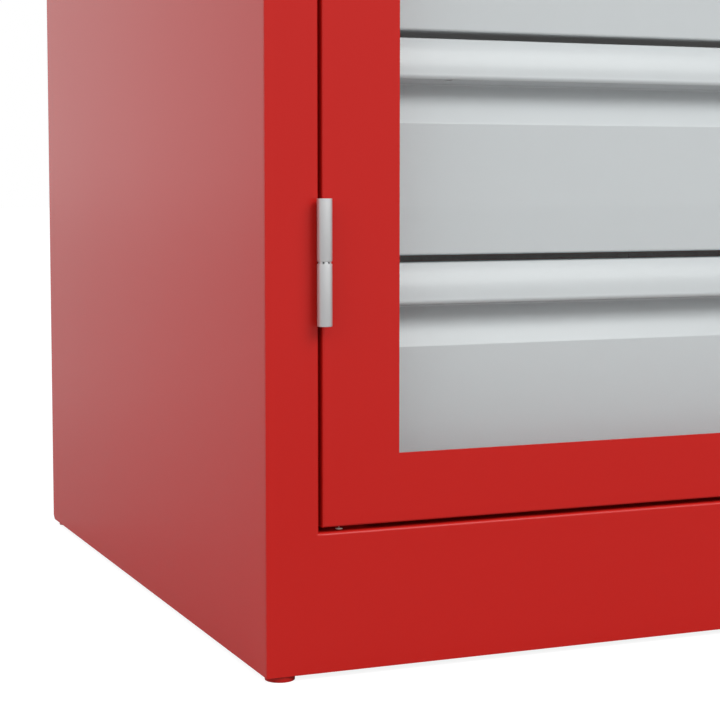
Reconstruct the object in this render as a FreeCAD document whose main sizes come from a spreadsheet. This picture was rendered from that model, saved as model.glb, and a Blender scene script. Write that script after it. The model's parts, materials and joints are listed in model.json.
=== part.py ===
import FreeCAD, Part
import os

import Sketcher

# Roll front tool cabinet: a tall sheet-steel cabinet. Its lower compartment holds a stack of drawers
# behind a hinged window door, and its upper compartment holds shelves behind a vertical roll front.
#
# Millimetres, +Z up, +X to the viewer's right, the front faces -Y. The origin lies on the floor, under
# the middle of the cabinet's overall box (the door handle counts in its depth).

DRAWER_COUNT = 5
SHELF_COUNT = 2

SIZES = (
    # alias, size in millimetres (or degrees), meaning
    ("cabinet_width", 700, "over the two side panels"),
    ("cabinet_depth", 600, "from the front face to the rear edge of the side panels"),
    ("cabinet_height", 1950, "from the floor to the top panel"),
    ("skin", 1.5, "steel sheet of the carcass, the front frame and the door"),
    ("fold", 25, "height of the folded edges of the horizontal panels"),
    ("flange", 20, "width of the folded edges of the side panels"),
    ("corner_cut", 4, "cut at the lower rear corner of the side panels"),
    ("foot_height", 4, "from the floor to the carcass"),
    ("foot_radius", 9.8, "round glide foot"),
    ("foot_inset", 13, "from the outside of the side panel to the foot's centre"),
    ("foot_setback", 11.5, "from the front face, and from the rear edge, to the foot's centre"),
    ("stud_radius", 4, "threaded stud of the glide foot"),
    ("stud_height", 14, "stud above the carcass's lower edge"),
    ("nut_radius", 7.5, "hexagon nut on the stud, over its corners"),
    ("nut_height", 6, "hexagon nut on the stud"),
    ("channel_width", 38, "base channel that carries the feet"),
    ("channel_height", 30, "base channel that carries the feet"),
    # front frame
    ("plinth_height", 91.5, "front frame below the door"),
    ("post_width", 36.15, "front frame beside the door"),
    ("frame_return", 20, "depth of the frame's folded opening edges"),
    ("middle_rail", 40, "front frame between the door and the roll front"),
    ("header_height", 165, "front frame above the roll front"),
    ("bend_radius", 1.2, "outside radius of the folded edges"),
    # door
    ("door_end_gap", 3.2, "between the door and the frame, above and below"),
    ("door_side_gap", 2.3, "between the door and the frame, left and right"),
    ("door_stile", 53.35, "door frame beside the window"),
    ("door_rail", 45.5, "door frame above and below the window"),
    ("door_thickness", 18, "depth of the door's folded edges"),
    ("door_lip", 12, "inner lip on the door's folded edges"),
    ("gasket", 1, "rubber between the door and the window pane"),
    ("gasket_inset", 2, "from the window's edge to the gasket"),
    ("pane", 4, "window pane"),
    ("pane_overlap", 12, "window pane behind the door's sheet"),
    ("pane_play", 1, "between the pane's edge and its retaining strips"),
    ("strip", 1.5, "sheet of the retaining strips"),
    ("strip_cover", 8, "retaining strip over the pane's back"),
    ("buffer_radius", 2.4, "nylon buffer in the door's lower edge"),
    ("buffer_inset", 12.9, "from the door's side edge to the buffer's centre"),
    ("buffer_setback", 4.5, "from the front face to the buffer's centre"),
    ("buffer_play", 0.6, "between the buffer and the plinth"),
    # hinges
    ("hinge_radius", 4.83, "barrel"),
    ("hinge_length", 80.6, "both barrel halves and the washer between them"),
    ("hinge_washer", 1, "between the barrel halves"),
    ("washer_radius", 4.3, "washer between the barrel halves"),
    ("hinge_standoff", 7, "from the front face to the hinge axis"),
    ("hinge_height", 170.2, "from the door's end to the middle of the hinge"),
    ("pin_radius", 3, "hinge pin"),
    ("running_play", 0.05, "radial clearance of a shaft that turns"),
    ("leaf", 1.8, "sheet of the hinge leaves"),
    ("leaf_depth", 15, "hinge leaf behind the front face"),
    # door handle
    ("handle_below_middle", 0, "from the middle of the door down to the handle"),
    ("housing_radius", 16, "round flange of the lock housing"),
    ("housing_flange", 4, "thickness of that flange"),
    ("barrel_radius", 10, "lock housing inside the door"),
    ("spindle_radius", 6, "spindle of the handle"),
    ("knob_height", 24, "handle in front of the housing"),
    ("knob_length", 46, "wing of the handle"),
    ("knob_width", 13, "wing of the handle"),
    ("knob_round", 4, "rounded edges of the wing"),
    ("collar_radius", 13, "round foot of the handle"),
    ("collar_height", 12, "round foot of the handle"),
    ("cam", 3, "plate of the lock cam"),
    ("cam_reach", 38, "from the spindle to the tip of the cam"),
    ("cam_width", 16, "plate of the lock cam"),
    ("cam_play", 0.4, "between the lock cam and the frame's folded edge"),
    # drawers
    ("drawer_pitch", 150, "from one drawer to the next"),
    ("drawer_gap", 5, "between two drawer fronts"),
    ("drawer_lift", 24.8, "from the plinth's top to the lowest drawer front"),
    ("window_head", 8, "from the top drawer front to the window's upper edge"),
    ("window_cover", 2, "drawer front hidden behind the window's side edge"),
    ("drawer_setback", 45, "from the front face to the drawer front's upper edge"),
    ("drawer_front_depth", 17.5, "depth of the drawer front behind its upper edge"),
    ("drawer_skin", 1.2, "steel sheet of the drawers"),
    ("ledge_reach", 8.3, "grip ledge's lip in front of the upper edge"),
    ("ledge_drop", 25.3, "grip ledge's lip below the upper edge"),
    ("ledge_radius", 70, "curve of the grip ledge's face"),
    ("edge_round", 3, "rounded upper edge of the drawer front"),
    ("lip_round", 1.6, "rounded lip of the grip ledge"),
    ("grip_depth", 14.2, "back of the grip behind the upper edge"),
    ("grip_drop", 29.9, "back of the grip below the upper edge"),
    ("crease_drop", 56.5, "crease under the grip, below the upper edge"),
    ("panel_step", 1.1, "flat panel in front of the upper edge"),
    ("web_inset", 110, "from the drawer front's end to the stiffening web inside it"),
    ("grip_hole_radius", 3, "hole in the grip's underside"),
    ("grip_hole_inset", 55.2, "from the drawer front's end to that hole"),
    ("grip_hole_setback", 6.5, "from the grip ledge's lip to that hole's centre"),
    ("tray_lift", 12, "tray above the lower edge of its front"),
    ("tray_height", 100, "drawer tray"),
    ("tray_depth", 490, "drawer tray"),
    ("carrier_gap", 1.5, "between a drawer front and the upright carrier"),
    ("carrier_setback", 47, "from the front face to the upright carriers"),
    ("carrier_rear_gap", 10, "behind the upright carriers"),
    ("slide_space", 13.5, "between the tray and the upright carrier"),
    ("rail_skin", 1.5, "steel of the rails and runners"),
    ("rail_height", 30, "fixed rail"),
    ("rail_width", 10.5, "fixed rail"),
    ("rail_length", 500, "fixed rail"),
    ("rail_setback", 2, "from the drawer front's rear to the fixed rail"),
    ("rail_lift", 30, "from the tray's floor to the middle of its rail"),
    ("runner_height", 20, "runner on the tray"),
    ("runner_width", 9, "runner on the tray"),
    ("roller_radius", 8, "nylon roller"),
    ("roller_width", 7.5, "nylon roller"),
    ("roller_play", 0.3, "between a roller and what runs on it"),
    ("roller_gap", 1.5, "between a roller and the web of the fixed rail"),
    ("roller_inset", 12, "from a rail's end to its roller"),
    ("roller_pin_radius", 2, "pin of a roller"),
    # roll front
    ("guide_depth", 14, "inside width of the side guides"),
    ("guide_cover", 17, "side guide beyond the frame's opening"),
    ("guide_gap", 0.5, "guide's mouth outside the frame's opening"),
    ("guide_rise", 5, "side guides above the opening"),
    ("curtain_play", 2, "between the curtain and each wall of its guides"),
    ("slat_pitch", 36, "from one slat to the next"),
    ("slat_gap", 0.3, "between two slats"),
    ("slat_thickness", 10, "over the curve of the slat"),
    ("slat_crown", 2.5, "curve of the slat's face"),
    ("slat_wall", 1, "wall of the hollow slat"),
    ("bar_height", 60, "bottom bar"),
    ("bar_thickness", 12, "bottom bar"),
    ("bar_wall", 1.5, "wall of the hollow bottom bar"),
    ("seal_height", 6, "rubber seal under the bottom bar"),
    ("seal_thickness", 7, "rubber seal under the bottom bar"),
    ("seal_play", 0.3, "between the seal and the deck"),
    ("grip_length", 560, "grip ledge on the bottom bar"),
    ("grip_reach", 16, "grip ledge in front of the bottom bar"),
    ("grip_sheet", 2, "grip ledge on the bottom bar"),
    ("grip_rise", 4, "grip ledge above the bar's lower edge"),
    ("grip_lip", 15, "upturned edge of the grip ledge"),
    ("lock_rise", 40, "from the bar's lower edge to its lock"),
    ("lock_radius", 9, "lock cylinder of the bottom bar"),
    ("lock_reach", 1.5, "lock cylinder in front of the bar"),
    ("keyway_width", 2, "key slot of the lock cylinder"),
    ("keyway_height", 9, "key slot of the lock cylinder"),
    ("drive_width", 6, "plate that drives the sliding bolts"),
    ("bolt_height", 8, "sliding bolt in the bottom bar"),
    ("bolt_clearance", 0.3, "between the sliding bolt and the walls of the bar"),
    ("bolt_start", 14, "from the lock's centre to the sliding bolt"),
    ("bolt_throw", 10, "travel of the sliding bolts"),
    ("bolt_play", 1, "round the sliding bolt in the guide's slot"),
    # drum
    ("drum_radius", 25, "winding tube"),
    ("drum_wall", 2, "winding tube"),
    ("drum_end_gap", 22, "from the winding tube to the side panel"),
    ("coil_radius", 58, "curtain rolled up on the tube"),
    ("coil_play", 10, "between the rolled curtain and the front"),
    ("drum_rise", 85, "from the opening's top to the drum's axis"),
    ("axle_radius", 6, "fixed axle of the drum"),
    ("bearing_length", 12, "bearing plug in each end of the tube"),
    ("bracket", 3, "plate that holds the axle"),
    ("bracket_size", 60, "plate that holds the axle"),
    ("spring_radius", 14, "outside of the counterbalance spring"),
    ("spring_length", 420, "counterbalance spring"),
    ("strap", 0.8, "steel strap between the curtain and the drum"),
    ("strap_width", 30, "steel strap between the curtain and the drum"),
    ("strap_spacing", 240, "between two straps"),
    # shelves
    ("strip_width", 20, "slotted shelf strip on the side panel"),
    ("strip_depth", 12, "slotted shelf strip on the side panel"),
    ("strip_front", 110, "from the front face to the front strip"),
    ("strip_back", 480, "from the front face to the rear strip"),
    ("slot_pitch", 50, "between two slots of a shelf strip"),
    ("slot_height", 12, "slot of a shelf strip"),
    ("slot_width", 5, "slot of a shelf strip"),
    ("shelf_play", 1, "between a shelf and the shelf strips"),
    ("shelf_front", 60, "from the front face to a shelf"),
    ("shelf_rear_gap", 5, "between a shelf and the back panel"),
    ("shelf_pitch", 270, "from one shelf to the next"),
    ("clip", 2, "steel of the shelf clips"),
    ("clip_size", 18, "leg of a shelf clip"),
    # holes for fixing the cabinet to a wall
    ("wall_hole_radius", 4.5, "fixing hole in the back panel"),
    ("wall_hole_spacing", 500, "between the two fixing holes"),
    ("wall_hole_drop", 70, "from the top down to the fixing holes"),
)

doc = FreeCAD.newDocument("RollFrontToolCabinet")
sheet = doc.addObject("Spreadsheet::Sheet", "sizes")
for row, (alias, size, meaning) in enumerate(SIZES, start=1):
    sheet.set(f"A{row}", meaning)
    sheet.set(f"B{row}", str(size))
    sheet.setAlias(f"B{row}", alias)
doc.recompute()

places = doc.addObject("Spreadsheet::Sheet", "places")


class Length:
    """A length with its number and the sheet expression that gives it."""

    def __init__(self, number, text):
        self.number = number
        self.text = text

    def __add__(self, other):
        other = length(other)
        return Length(self.number + other.number, f"({self.text} + {other.text})")

    def __sub__(self, other):
        other = length(other)
        return Length(self.number - other.number, f"({self.text} - {other.text})")

    def __mul__(self, factor):
        return Length(self.number * factor, f"({self.text} * {factor})")

    def __truediv__(self, divisor):
        return Length(self.number / divisor, f"({self.text} / {divisor})")

    def __neg__(self):
        return Length(-self.number, f"(0 - {self.text})")

    def __radd__(self, other):
        return length(other) + self


def length(value):
    """value as a Length, so that plain numbers can stand beside sizes."""
    if isinstance(value, Length):
        return value
    return Length(value, f"({value})")


def size(alias):
    """A driving size from the sheet."""
    return Length(float(getattr(sheet, alias)), f"sizes.{alias}")


place_names = []


def place(alias, value):
    """A derived size or place, kept in the second sheet under its own name."""
    place_names.append(alias)
    row = len(place_names)
    places.set(f"A{row}", alias)
    places.set(f"B{row}", "=" + value.text)
    places.setAlias(f"B{row}", alias)
    return Length(value.number, f"places.{alias}")


# ---------------------------------------------------------------- building blocks

AXIS_TURN = {
    "x": FreeCAD.Rotation(FreeCAD.Vector(0, 1, 0), 90),
    "y": FreeCAD.Rotation(FreeCAD.Vector(1, 0, 0), -90),
    "z": FreeCAD.Rotation(),
}
PLANE_ROLE = {"xy": "XY_Plane", "xz": "XZ_Plane", "yz": "YZ_Plane"}


def bind(thing, **expressions):
    """Ties properties to sheet expressions. Double underscores in a name stand for dots."""
    for name, value in expressions.items():
        thing.setExpression(name.replace("__", "."), length(value).text)


def put(thing, x=0, y=0, z=0):
    """Places an object by expressions."""
    bind(thing, Placement__Base__x=x, Placement__Base__y=y, Placement__Base__z=z)
    return thing


def block(name, x, y, z):
    """A box between two planes along each axis; x, y and z are (low, high) pairs."""
    box = doc.addObject("Part::Box", name)
    low_x, high_x = map(length, x)
    low_y, high_y = map(length, y)
    low_z, high_z = map(length, z)
    bind(box, Length=high_x - low_x, Width=high_y - low_y, Height=high_z - low_z)
    return put(box, low_x, low_y, low_z)


def rod(name, axis, along, radius, x=0, y=0, z=0):
    """A cylinder along one axis between the two ends in along; x, y and z place its centre line."""
    cylinder = doc.addObject("Part::Cylinder", name)
    low, high = map(length, along)
    cylinder.Placement = FreeCAD.Placement(FreeCAD.Vector(), AXIS_TURN[axis])
    bind(cylinder, Radius=radius, Height=high - low)
    start = {"x": x, "y": y, "z": z}
    start[axis] = low
    return put(cylinder, **start)


def ring(name, axis, along, outer, inner, **centre):
    """A tube along one axis."""
    shell = rod(name + "_outside", axis, along, outer, **centre)
    hollow = rod(name + "_inside", axis, along, inner, **centre)
    return cut(name, shell, hollow)


def fuse(name, *solids):
    """The union of several solids."""
    union = doc.addObject("Part::MultiFuse", name)
    union.Shapes = list(solids)
    union.Refine = True
    return union


def cut(name, base, *tools):
    """base less all the tools."""
    difference = doc.addObject("Part::Cut", name)
    difference.Base = base
    difference.Tool = tools[0] if len(tools) == 1 else fuse(name + "_tools", *tools)
    difference.Refine = True
    return difference


def group(name, *solids):
    """Several separate solids in one sub-part."""
    compound = doc.addObject("Part::Compound", name)
    compound.Links = list(solids)
    return compound


def mirrored(name, source):
    """source mirrored from the left half to the right."""
    mirror = doc.addObject("Part::Mirroring", name)
    mirror.Source = source
    mirror.Normal = FreeCAD.Vector(1, 0, 0)
    return mirror


def both_sides(name, left):
    """A left-hand solid and its mirror image in one sub-part."""
    return group(name, left, mirrored(name + "_right", left))


def repeat(name, source, x=0, y=0, z=0):
    """A linked copy of source, moved."""
    copy = doc.addObject("App::Link", name)
    copy.LinkedObject = source
    return put(copy, x, y, z)


def pan(name, x, y, z, wall):
    """A level sheet with its edges folded down."""
    outside = block(name + "_outside", x, y, z)
    inside_z = (z[0] - wall, z[1] - wall)
    return cut(name, outside, block(name + "_inside", grown(x, -wall), grown(y, -wall), inside_z))


def draw_loop(sketch, corners):
    """Adds a closed loop to a sketch. A corner is (across, up), or (across, up, radius) where an arc
    that bulges outwards of an anticlockwise loop leads on to the next corner."""
    first = sketch.GeometryCount
    count = len(corners)
    ends = []
    for index, corner in enumerate(corners):
        start = FreeCAD.Vector(length(corner[0]).number, length(corner[1]).number, 0)
        following = corners[(index + 1) % count]
        finish = FreeCAD.Vector(length(following[0]).number, length(following[1]).number, 0)
        if len(corner) == 2:
            sketch.addGeometry(Part.LineSegment(start, finish), False)
        else:
            radius = corner[2].number
            chord = finish - start
            middle = (start + finish) / 2
            inward = FreeCAD.Vector(-chord.y, chord.x, 0).normalize()
            centre = middle + inward * (radius**2 - (chord.Length / 2) ** 2) ** 0.5
            summit = centre - inward * radius
            sketch.addGeometry(Part.Arc(start, summit, finish), False)
        edge = sketch.Geometry[first + index]
        runs_forward = edge.StartPoint.distanceToPoint(start) < 1e-6
        ends.append((1, 2) if runs_forward else (2, 1))
    for index, corner in enumerate(corners):
        edge = first + index
        following = (index + 1) % count
        sketch.addConstraint(
            Sketcher.Constraint("Coincident", edge, ends[index][1], first + following, ends[following][0])
        )
        for kind, value in (("DistanceX", corner[0]), ("DistanceY", corner[1])):
            value = length(value)
            constraint = Sketcher.Constraint(kind, -1, 1, edge, ends[index][0], value.number)
            number = sketch.addConstraint(constraint)
            sketch.setExpression(f"Constraints[{number}]", value.text)
        if len(corner) == 3:
            number = sketch.addConstraint(Sketcher.Constraint("Radius", edge, corner[2].number))
            sketch.setExpression(f"Constraints[{number}]", corner[2].text)


def profile(name, plane, loops, depth, both=False, reverse=False):
    """A body padded from a sketch of one or more closed loops. In plane xy the corners are (x, y) and
    the pad rises along +Z; in xz they are (x, z) and it goes along -Y unless reversed; in yz they are
    (y, z) and it goes along +X. both pads to each side of the plane."""
    body = doc.addObject("PartDesign::Body", name)
    add_pad(body, plane, loops, depth, both, reverse)
    return body


def add_pad(body, plane, loops, depth, both=False, reverse=False):
    """One more sketch and pad in a body."""
    count = len(body.Group)
    sketch = body.newObject("Sketcher::SketchObject", f"{body.Name}_sketch_{count}")
    support = [f for f in body.Origin.OriginFeatures if f.Role == PLANE_ROLE[plane]][0]
    sketch.AttachmentSupport = [(support, "")]
    sketch.MapMode = "FlatFace"
    for loop in loops:
        draw_loop(sketch, loop)
    pad = body.newObject("PartDesign::Pad", f"{body.Name}_pad_{count}")
    pad.Profile = sketch
    pad.Midplane = both
    pad.Reversed = reverse
    bind(pad, Length=depth)
    return pad


def round_edges(body, radius, wanted):
    """Fillets the edges of a body's tip that wanted picks. wanted takes an edge's list of corners."""
    doc.recompute()
    tip = body.Tip
    names = [
        f"Edge{number}"
        for number, edge in enumerate(tip.Shape.Edges, start=1)
        if wanted([vertex.Point for vertex in edge.Vertexes])
    ]
    fillet = body.newObject("PartDesign::Fillet", f"{body.Name}_round_{len(body.Group)}")
    fillet.Base = (tip, names)
    bind(fillet, Radius=radius)
    return fillet


def near(a, b):
    return abs(a - b) < 1e-4


def rectangle(x, z):
    """The corners of an upright rectangle, anticlockwise; x and z are (low, high) pairs."""
    return [(x[0], z[0]), (x[1], z[0]), (x[1], z[1]), (x[0], z[1])]


def grown(span, margin):
    """A (low, high) pair moved outwards at both ends."""
    return (span[0] - margin, span[1] + margin)


sub_parts = {}


def sub_part(node, shape):
    """Registers the finished shape of one piece under its name."""
    shape.Label = node
    sub_parts[node] = shape
    return shape


# ---------------------------------------------------------------- main planes

skin = size("skin")
half = place("half", size("cabinet_width") / 2)
handle_reach = size("housing_flange") + size("knob_height")
face = place("face", -(size("cabinet_depth") - handle_reach) / 2)
back = place("back", face + size("cabinet_depth"))
base = size("foot_height")
top = size("cabinet_height")
inside = place("inside", half - skin)
frame_back = place("frame_back", face + size("frame_return"))
panel_back = place("panel_back", back - skin * 2)

plinth_top = place("plinth_top", base + size("plinth_height"))
door_bottom = place("door_bottom", plinth_top + size("door_end_gap"))
window_bottom = place("window_bottom", door_bottom + size("door_rail"))
stack_bottom = place("stack_bottom", plinth_top + size("drawer_lift"))
stack_top = place("stack_top", stack_bottom + size("drawer_pitch") * DRAWER_COUNT - size("drawer_gap"))
window_top = place("window_top", stack_top + size("window_head"))
door_top = place("door_top", window_top + size("door_rail"))
rail_bottom = place("rail_bottom", door_top + size("door_end_gap"))
deck_level = place("deck_level", rail_bottom + size("middle_rail"))
deck_under = place("deck_under", deck_level - size("fold"))
header_bottom = place("header_bottom", top - size("header_height"))

opening_half = place("opening_half", half - size("post_width"))
door_half = place("door_half", opening_half - size("door_side_gap"))
window_half = place("window_half", door_half - size("door_stile"))
front_half = place("front_half", window_half + size("window_cover"))
carrier_half = place("carrier_half", front_half + size("carrier_gap"))
tray_half = place("tray_half", carrier_half - size("slide_space"))

OPENING = (-opening_half, opening_half)
DOOR_OPENING = (plinth_top, rail_bottom)
ROLL_OPENING = (deck_level, header_bottom)
BEHIND_FRAME = (frame_back, panel_back)


# ---------------------------------------------------------------- carcass


def front_frame():
    """One welded frame: posts, plinth, middle rail and header, with folded edges at both openings."""
    body = profile(
        "front_frame",
        "xz",
        [
            rectangle((-half, half), (base, top)),
            rectangle(OPENING, DOOR_OPENING),
            rectangle(OPENING, ROLL_OPENING),
        ],
        skin,
        reverse=True,
    )
    for opening in (DOOR_OPENING, ROLL_OPENING):
        edge = [rectangle(grown(OPENING, skin), grown(opening, skin)), rectangle(OPENING, opening)]
        add_pad(body, "xz", edge, size("frame_return"), reverse=True)
    limit = opening_half.number + 1e-3

    def at_opening_front(corners):
        return all(near(c.y, 0) and abs(c.x) < limit for c in corners)

    round_edges(body, size("bend_radius"), at_opening_front)
    put(body, y=face)
    return sub_part("front_frame", body)


def side_panels():
    """Sheet with folded edges at the front and rear, and a small cut at the lower rear corner."""
    flange_x = -half + size("flange")
    first = face + skin
    rear = back - skin
    outline = [
        (-half, first),
        (flange_x, first),
        (flange_x, first + skin),
        (-inside, first + skin),
        (-inside, rear),
        (flange_x, rear),
        (flange_x, back),
        (-half, back),
    ]
    sheet_body = profile("side_sheet", "xy", [outline], top - base)
    put(sheet_body, z=base)
    notch = size("corner_cut")
    corner = [(back - notch, base), (back, base), (back, base + notch)]
    corner_tool = profile("side_corner", "yz", [corner], size("cabinet_width") * 2, both=True)
    left = cut("left_side_panel", sheet_body, corner_tool)
    sub_part("left_side_panel", left)
    sub_part("right_side_panel", mirrored("right_side_panel", left))


def back_panel():
    """Sheet inside the rear flanges, with two holes for fixing the cabinet to a wall."""
    rear = (panel_back, back - skin)
    panel = block("back_sheet", (-inside, inside), rear, (base, top))
    height = top - size("wall_hole_drop")
    holes = [
        rod(f"wall_hole_{side}", "y", grown(rear, 1), size("wall_hole_radius"), x=x, z=height)
        for side, x in (("left", -size("wall_hole_spacing") / 2), ("right", size("wall_hole_spacing") / 2))
    ]
    return sub_part("back_panel", cut("back_panel", panel, *holes))


def level_panels():
    """Top, middle deck and floor, with their edges folded down."""
    across = (-inside, inside)
    fold = size("fold")
    for node, depth, level in (
        ("top_panel", (face + skin * 2, panel_back), top),
        ("middle_deck", BEHIND_FRAME, deck_level),
        ("floor_panel", BEHIND_FRAME, plinth_top),
    ):
        sub_part(node, pan(node, across, depth, (level - fold, level), skin))


def base_and_feet():
    """Two channels along the sides, each with a round glide foot at both ends."""
    channel_x = (-inside, -inside + size("channel_width"))
    channel_y = (face + skin * 2, panel_back)
    channel_z = (base, base + size("channel_height"))
    outside = block("channel_outside", channel_x, channel_y, channel_z)
    hollow = block(
        "channel_inside",
        (channel_x[0] + skin, channel_x[1] - skin),
        grown(channel_y, 1),
        (base + skin, channel_z[1] + 1),
    )
    foot_x = -half + size("foot_inset")
    foot_places = (face + size("foot_setback"), back - size("foot_setback"))
    stud = size("stud_radius")
    holes, feet, nuts = [], [], []
    for end, foot_y in zip(("front", "rear"), foot_places):
        centre = {"x": foot_x, "y": foot_y}
        holes.append(rod(f"foot_hole_{end}", "z", (base - 1, base + skin + 1), stud, **centre))
        disc = rod(f"foot_disc_{end}", "z", (0, base), size("foot_radius"), **centre)
        shank = rod(f"foot_stud_{end}", "z", (base, base + size("stud_height")), stud, **centre)
        feet.append(fuse(f"foot_{end}", disc, shank))
        hexagon = doc.addObject("Part::Prism", f"nut_body_{end}")
        hexagon.Polygon = 6
        bind(hexagon, Circumradius=size("nut_radius"), Height=size("nut_height"))
        put(hexagon, foot_x, foot_y, base + skin)
        nut_bore = rod(f"nut_bore_{end}", "z", (base, base + channel_z[1]), stud, **centre)
        nuts.append(cut(f"nut_{end}", hexagon, nut_bore))
    channel = cut("base_channel", outside, hollow, *holes)
    sub_part("base_channels", both_sides("base_channels", channel))
    sub_part("foot_glides", both_sides("foot_glides", group("left_feet", *feet)))
    sub_part("glide_nuts", both_sides("glide_nuts", group("left_nuts", *nuts)))


def drawer_carriers():
    """Upright sheets beside the drawers, folded out to the side panels at the front and rear."""
    front = face + size("carrier_setback")
    rear = panel_back - size("carrier_rear_gap")
    outline = [
        (-inside, front),
        (-carrier_half, front),
        (-carrier_half, rear),
        (-inside, rear),
        (-inside, rear - skin),
        (-carrier_half - skin, rear - skin),
        (-carrier_half - skin, front + skin),
        (-inside, front + skin),
    ]
    left = profile("left_drawer_carrier", "xy", [outline], deck_under - plinth_top)
    put(left, z=plinth_top)
    sub_part("left_drawer_carrier", left)
    sub_part("right_drawer_carrier", mirrored("right_drawer_carrier", left))


# ---------------------------------------------------------------- drawers

upper_edge_y = face + size("drawer_setback")
front_rear = place("front_rear", upper_edge_y + size("drawer_front_depth"))
rail_skin = size("rail_skin")
rail_front = place("rail_front", front_rear + size("rail_setback"))
RAIL_Y = (rail_front, rail_front + size("rail_length"))
RUNNER_Y = (front_rear, front_rear + size("tray_depth"))


def drawer_bottom(index):
    return stack_bottom + size("drawer_pitch") * index


def rail_level(index):
    """Height of the middle of a drawer's rails."""
    return drawer_bottom(index) + size("tray_lift") + size("rail_lift")


def drawer_front(number, bottom):
    """Folded front with a rolled grip ledge across its whole width. It is hollow and open behind, with
    two stiffening webs that stand against the tray."""
    upper = bottom + size("drawer_pitch") - size("drawer_gap")
    wall = size("drawer_skin")
    lip = (-size("ledge_reach"), -size("ledge_drop"))
    grip = (size("grip_depth"), -size("grip_drop"))
    crease = (-size("panel_step"), -size("crease_drop"))
    lower = size("drawer_gap") - size("drawer_pitch")
    rear = size("drawer_front_depth")
    outline = [
        (0, 0, size("ledge_radius")),
        lip,
        grip,
        crease,
        (-size("panel_step"), lower),
        (rear, lower),
        (rear, 0),
    ]
    width = front_half * 2
    shell = profile(f"drawer_{number}_shell", "yz", [outline], width, both=True)

    def on_line(corners, y, z):
        return all(near(c.y, y.number) and near(c.z, z.number) for c in corners)

    zero = length(0)
    round_edges(shell, size("edge_round"), lambda corners: on_line(corners, zero, zero))
    round_edges(shell, size("lip_round"), lambda corners: on_line(corners, lip[0], lip[1]))
    put(shell, y=upper_edge_y, z=upper)
    ledge_hollow = [
        (rear + 1, -wall),
        (wall * 2, -wall),
        (lip[0] + wall * 2, lip[1] + wall),
        (rear + 1, grip[1] + wall),
    ]
    panel_hollow = [
        (rear + 1, grip[1] - wall),
        (grip[0] + wall, grip[1] - wall),
        (crease[0] + wall, crease[1] - wall / 2),
        (crease[0] + wall, lower + wall),
        (rear + 1, lower + wall),
    ]
    hollows = profile(
        f"drawer_{number}_hollows", "yz", [ledge_hollow, panel_hollow], width - wall * 2, both=True
    )
    put(hollows, y=upper_edge_y, z=upper)
    web_x = front_half - size("web_inset")
    web_y = (upper_edge_y - size("ledge_reach"), front_rear)
    web = block(f"drawer_{number}_web", (-web_x, -web_x + wall), web_y, (bottom, upper))
    webs = both_sides(f"drawer_{number}_webs", web)
    hollows = cut(f"drawer_{number}_hollow_space", hollows, webs)
    hole_y = upper_edge_y - size("ledge_reach") + size("grip_hole_setback")
    hole_z = (upper - size("grip_drop") - 1, upper - size("ledge_drop") + wall)
    hole_x = front_half - size("grip_hole_inset")
    holes = [
        rod(f"drawer_{number}_hole_{side}", "z", hole_z, size("grip_hole_radius"), x=x, y=hole_y)
        for side, x in (("left", -hole_x), ("right", hole_x))
    ]
    return cut(f"drawer_{number}_front", shell, hollows, *holes)


def drawer_tray(number, bottom):
    """Open steel tray behind the front: a floor, an end across each end of it, and a side between the
    ends on each side."""
    wall = size("drawer_skin")
    floor = bottom + size("tray_lift")
    x = (-tray_half, tray_half)
    walls_z = (floor + wall, floor + size("tray_height"))
    name = f"drawer_{number}_tray"
    side = block(name + "_side", (-tray_half, -tray_half + wall), grown(RUNNER_Y, -wall), walls_z)
    return group(
        name,
        block(name + "_floor", x, RUNNER_Y, (floor, floor + wall)),
        block(name + "_front", x, (RUNNER_Y[0], RUNNER_Y[0] + wall), walls_z),
        block(name + "_rear", x, (RUNNER_Y[1] - wall, RUNNER_Y[1]), walls_z),
        both_sides(name + "_sides", side),
    )


def roller(name, x, y, z, pin_x):
    """Nylon roller on a short pin that stands on the rail's web."""
    wheel = rod(name + "_wheel", "x", x, size("roller_radius"), y=y, z=z)
    pin = rod(name + "_pin", "x", pin_x, size("roller_pin_radius"), y=y, z=z)
    return fuse(name, wheel, pin)


def wheel_span():
    """Where the wheels stand between the fixed rail and the runner, on the left side."""
    outer = -carrier_half + rail_skin + size("roller_gap")
    return (outer, outer + size("roller_width"))


def drawer_runners(number, middle):
    """Angle runner on each side of the tray, with a roller at its rear end."""
    web = (-tray_half - rail_skin, -tray_half)
    half_height = size("runner_height") / 2
    flange = (-tray_half - size("runner_width"), -tray_half)
    upright = block(f"runner_{number}_web", web, RUNNER_Y, (middle - half_height, middle + half_height))
    level = (middle + half_height - rail_skin, middle + half_height)
    ledge = block(f"runner_{number}_flange", flange, RUNNER_Y, level)
    angle = fuse(f"runner_{number}", upright, ledge)
    wheel_x = wheel_span()
    wheel = roller(
        f"rear_roller_{number}",
        wheel_x,
        RUNNER_Y[1] - size("roller_inset"),
        middle - size("rail_height") / 2 + rail_skin + size("roller_play") + size("roller_radius"),
        (wheel_x[1], web[0]),
    )
    return both_sides(f"drawer_{number}_runners", group(f"left_runner_{number}", angle, wheel))


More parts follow.
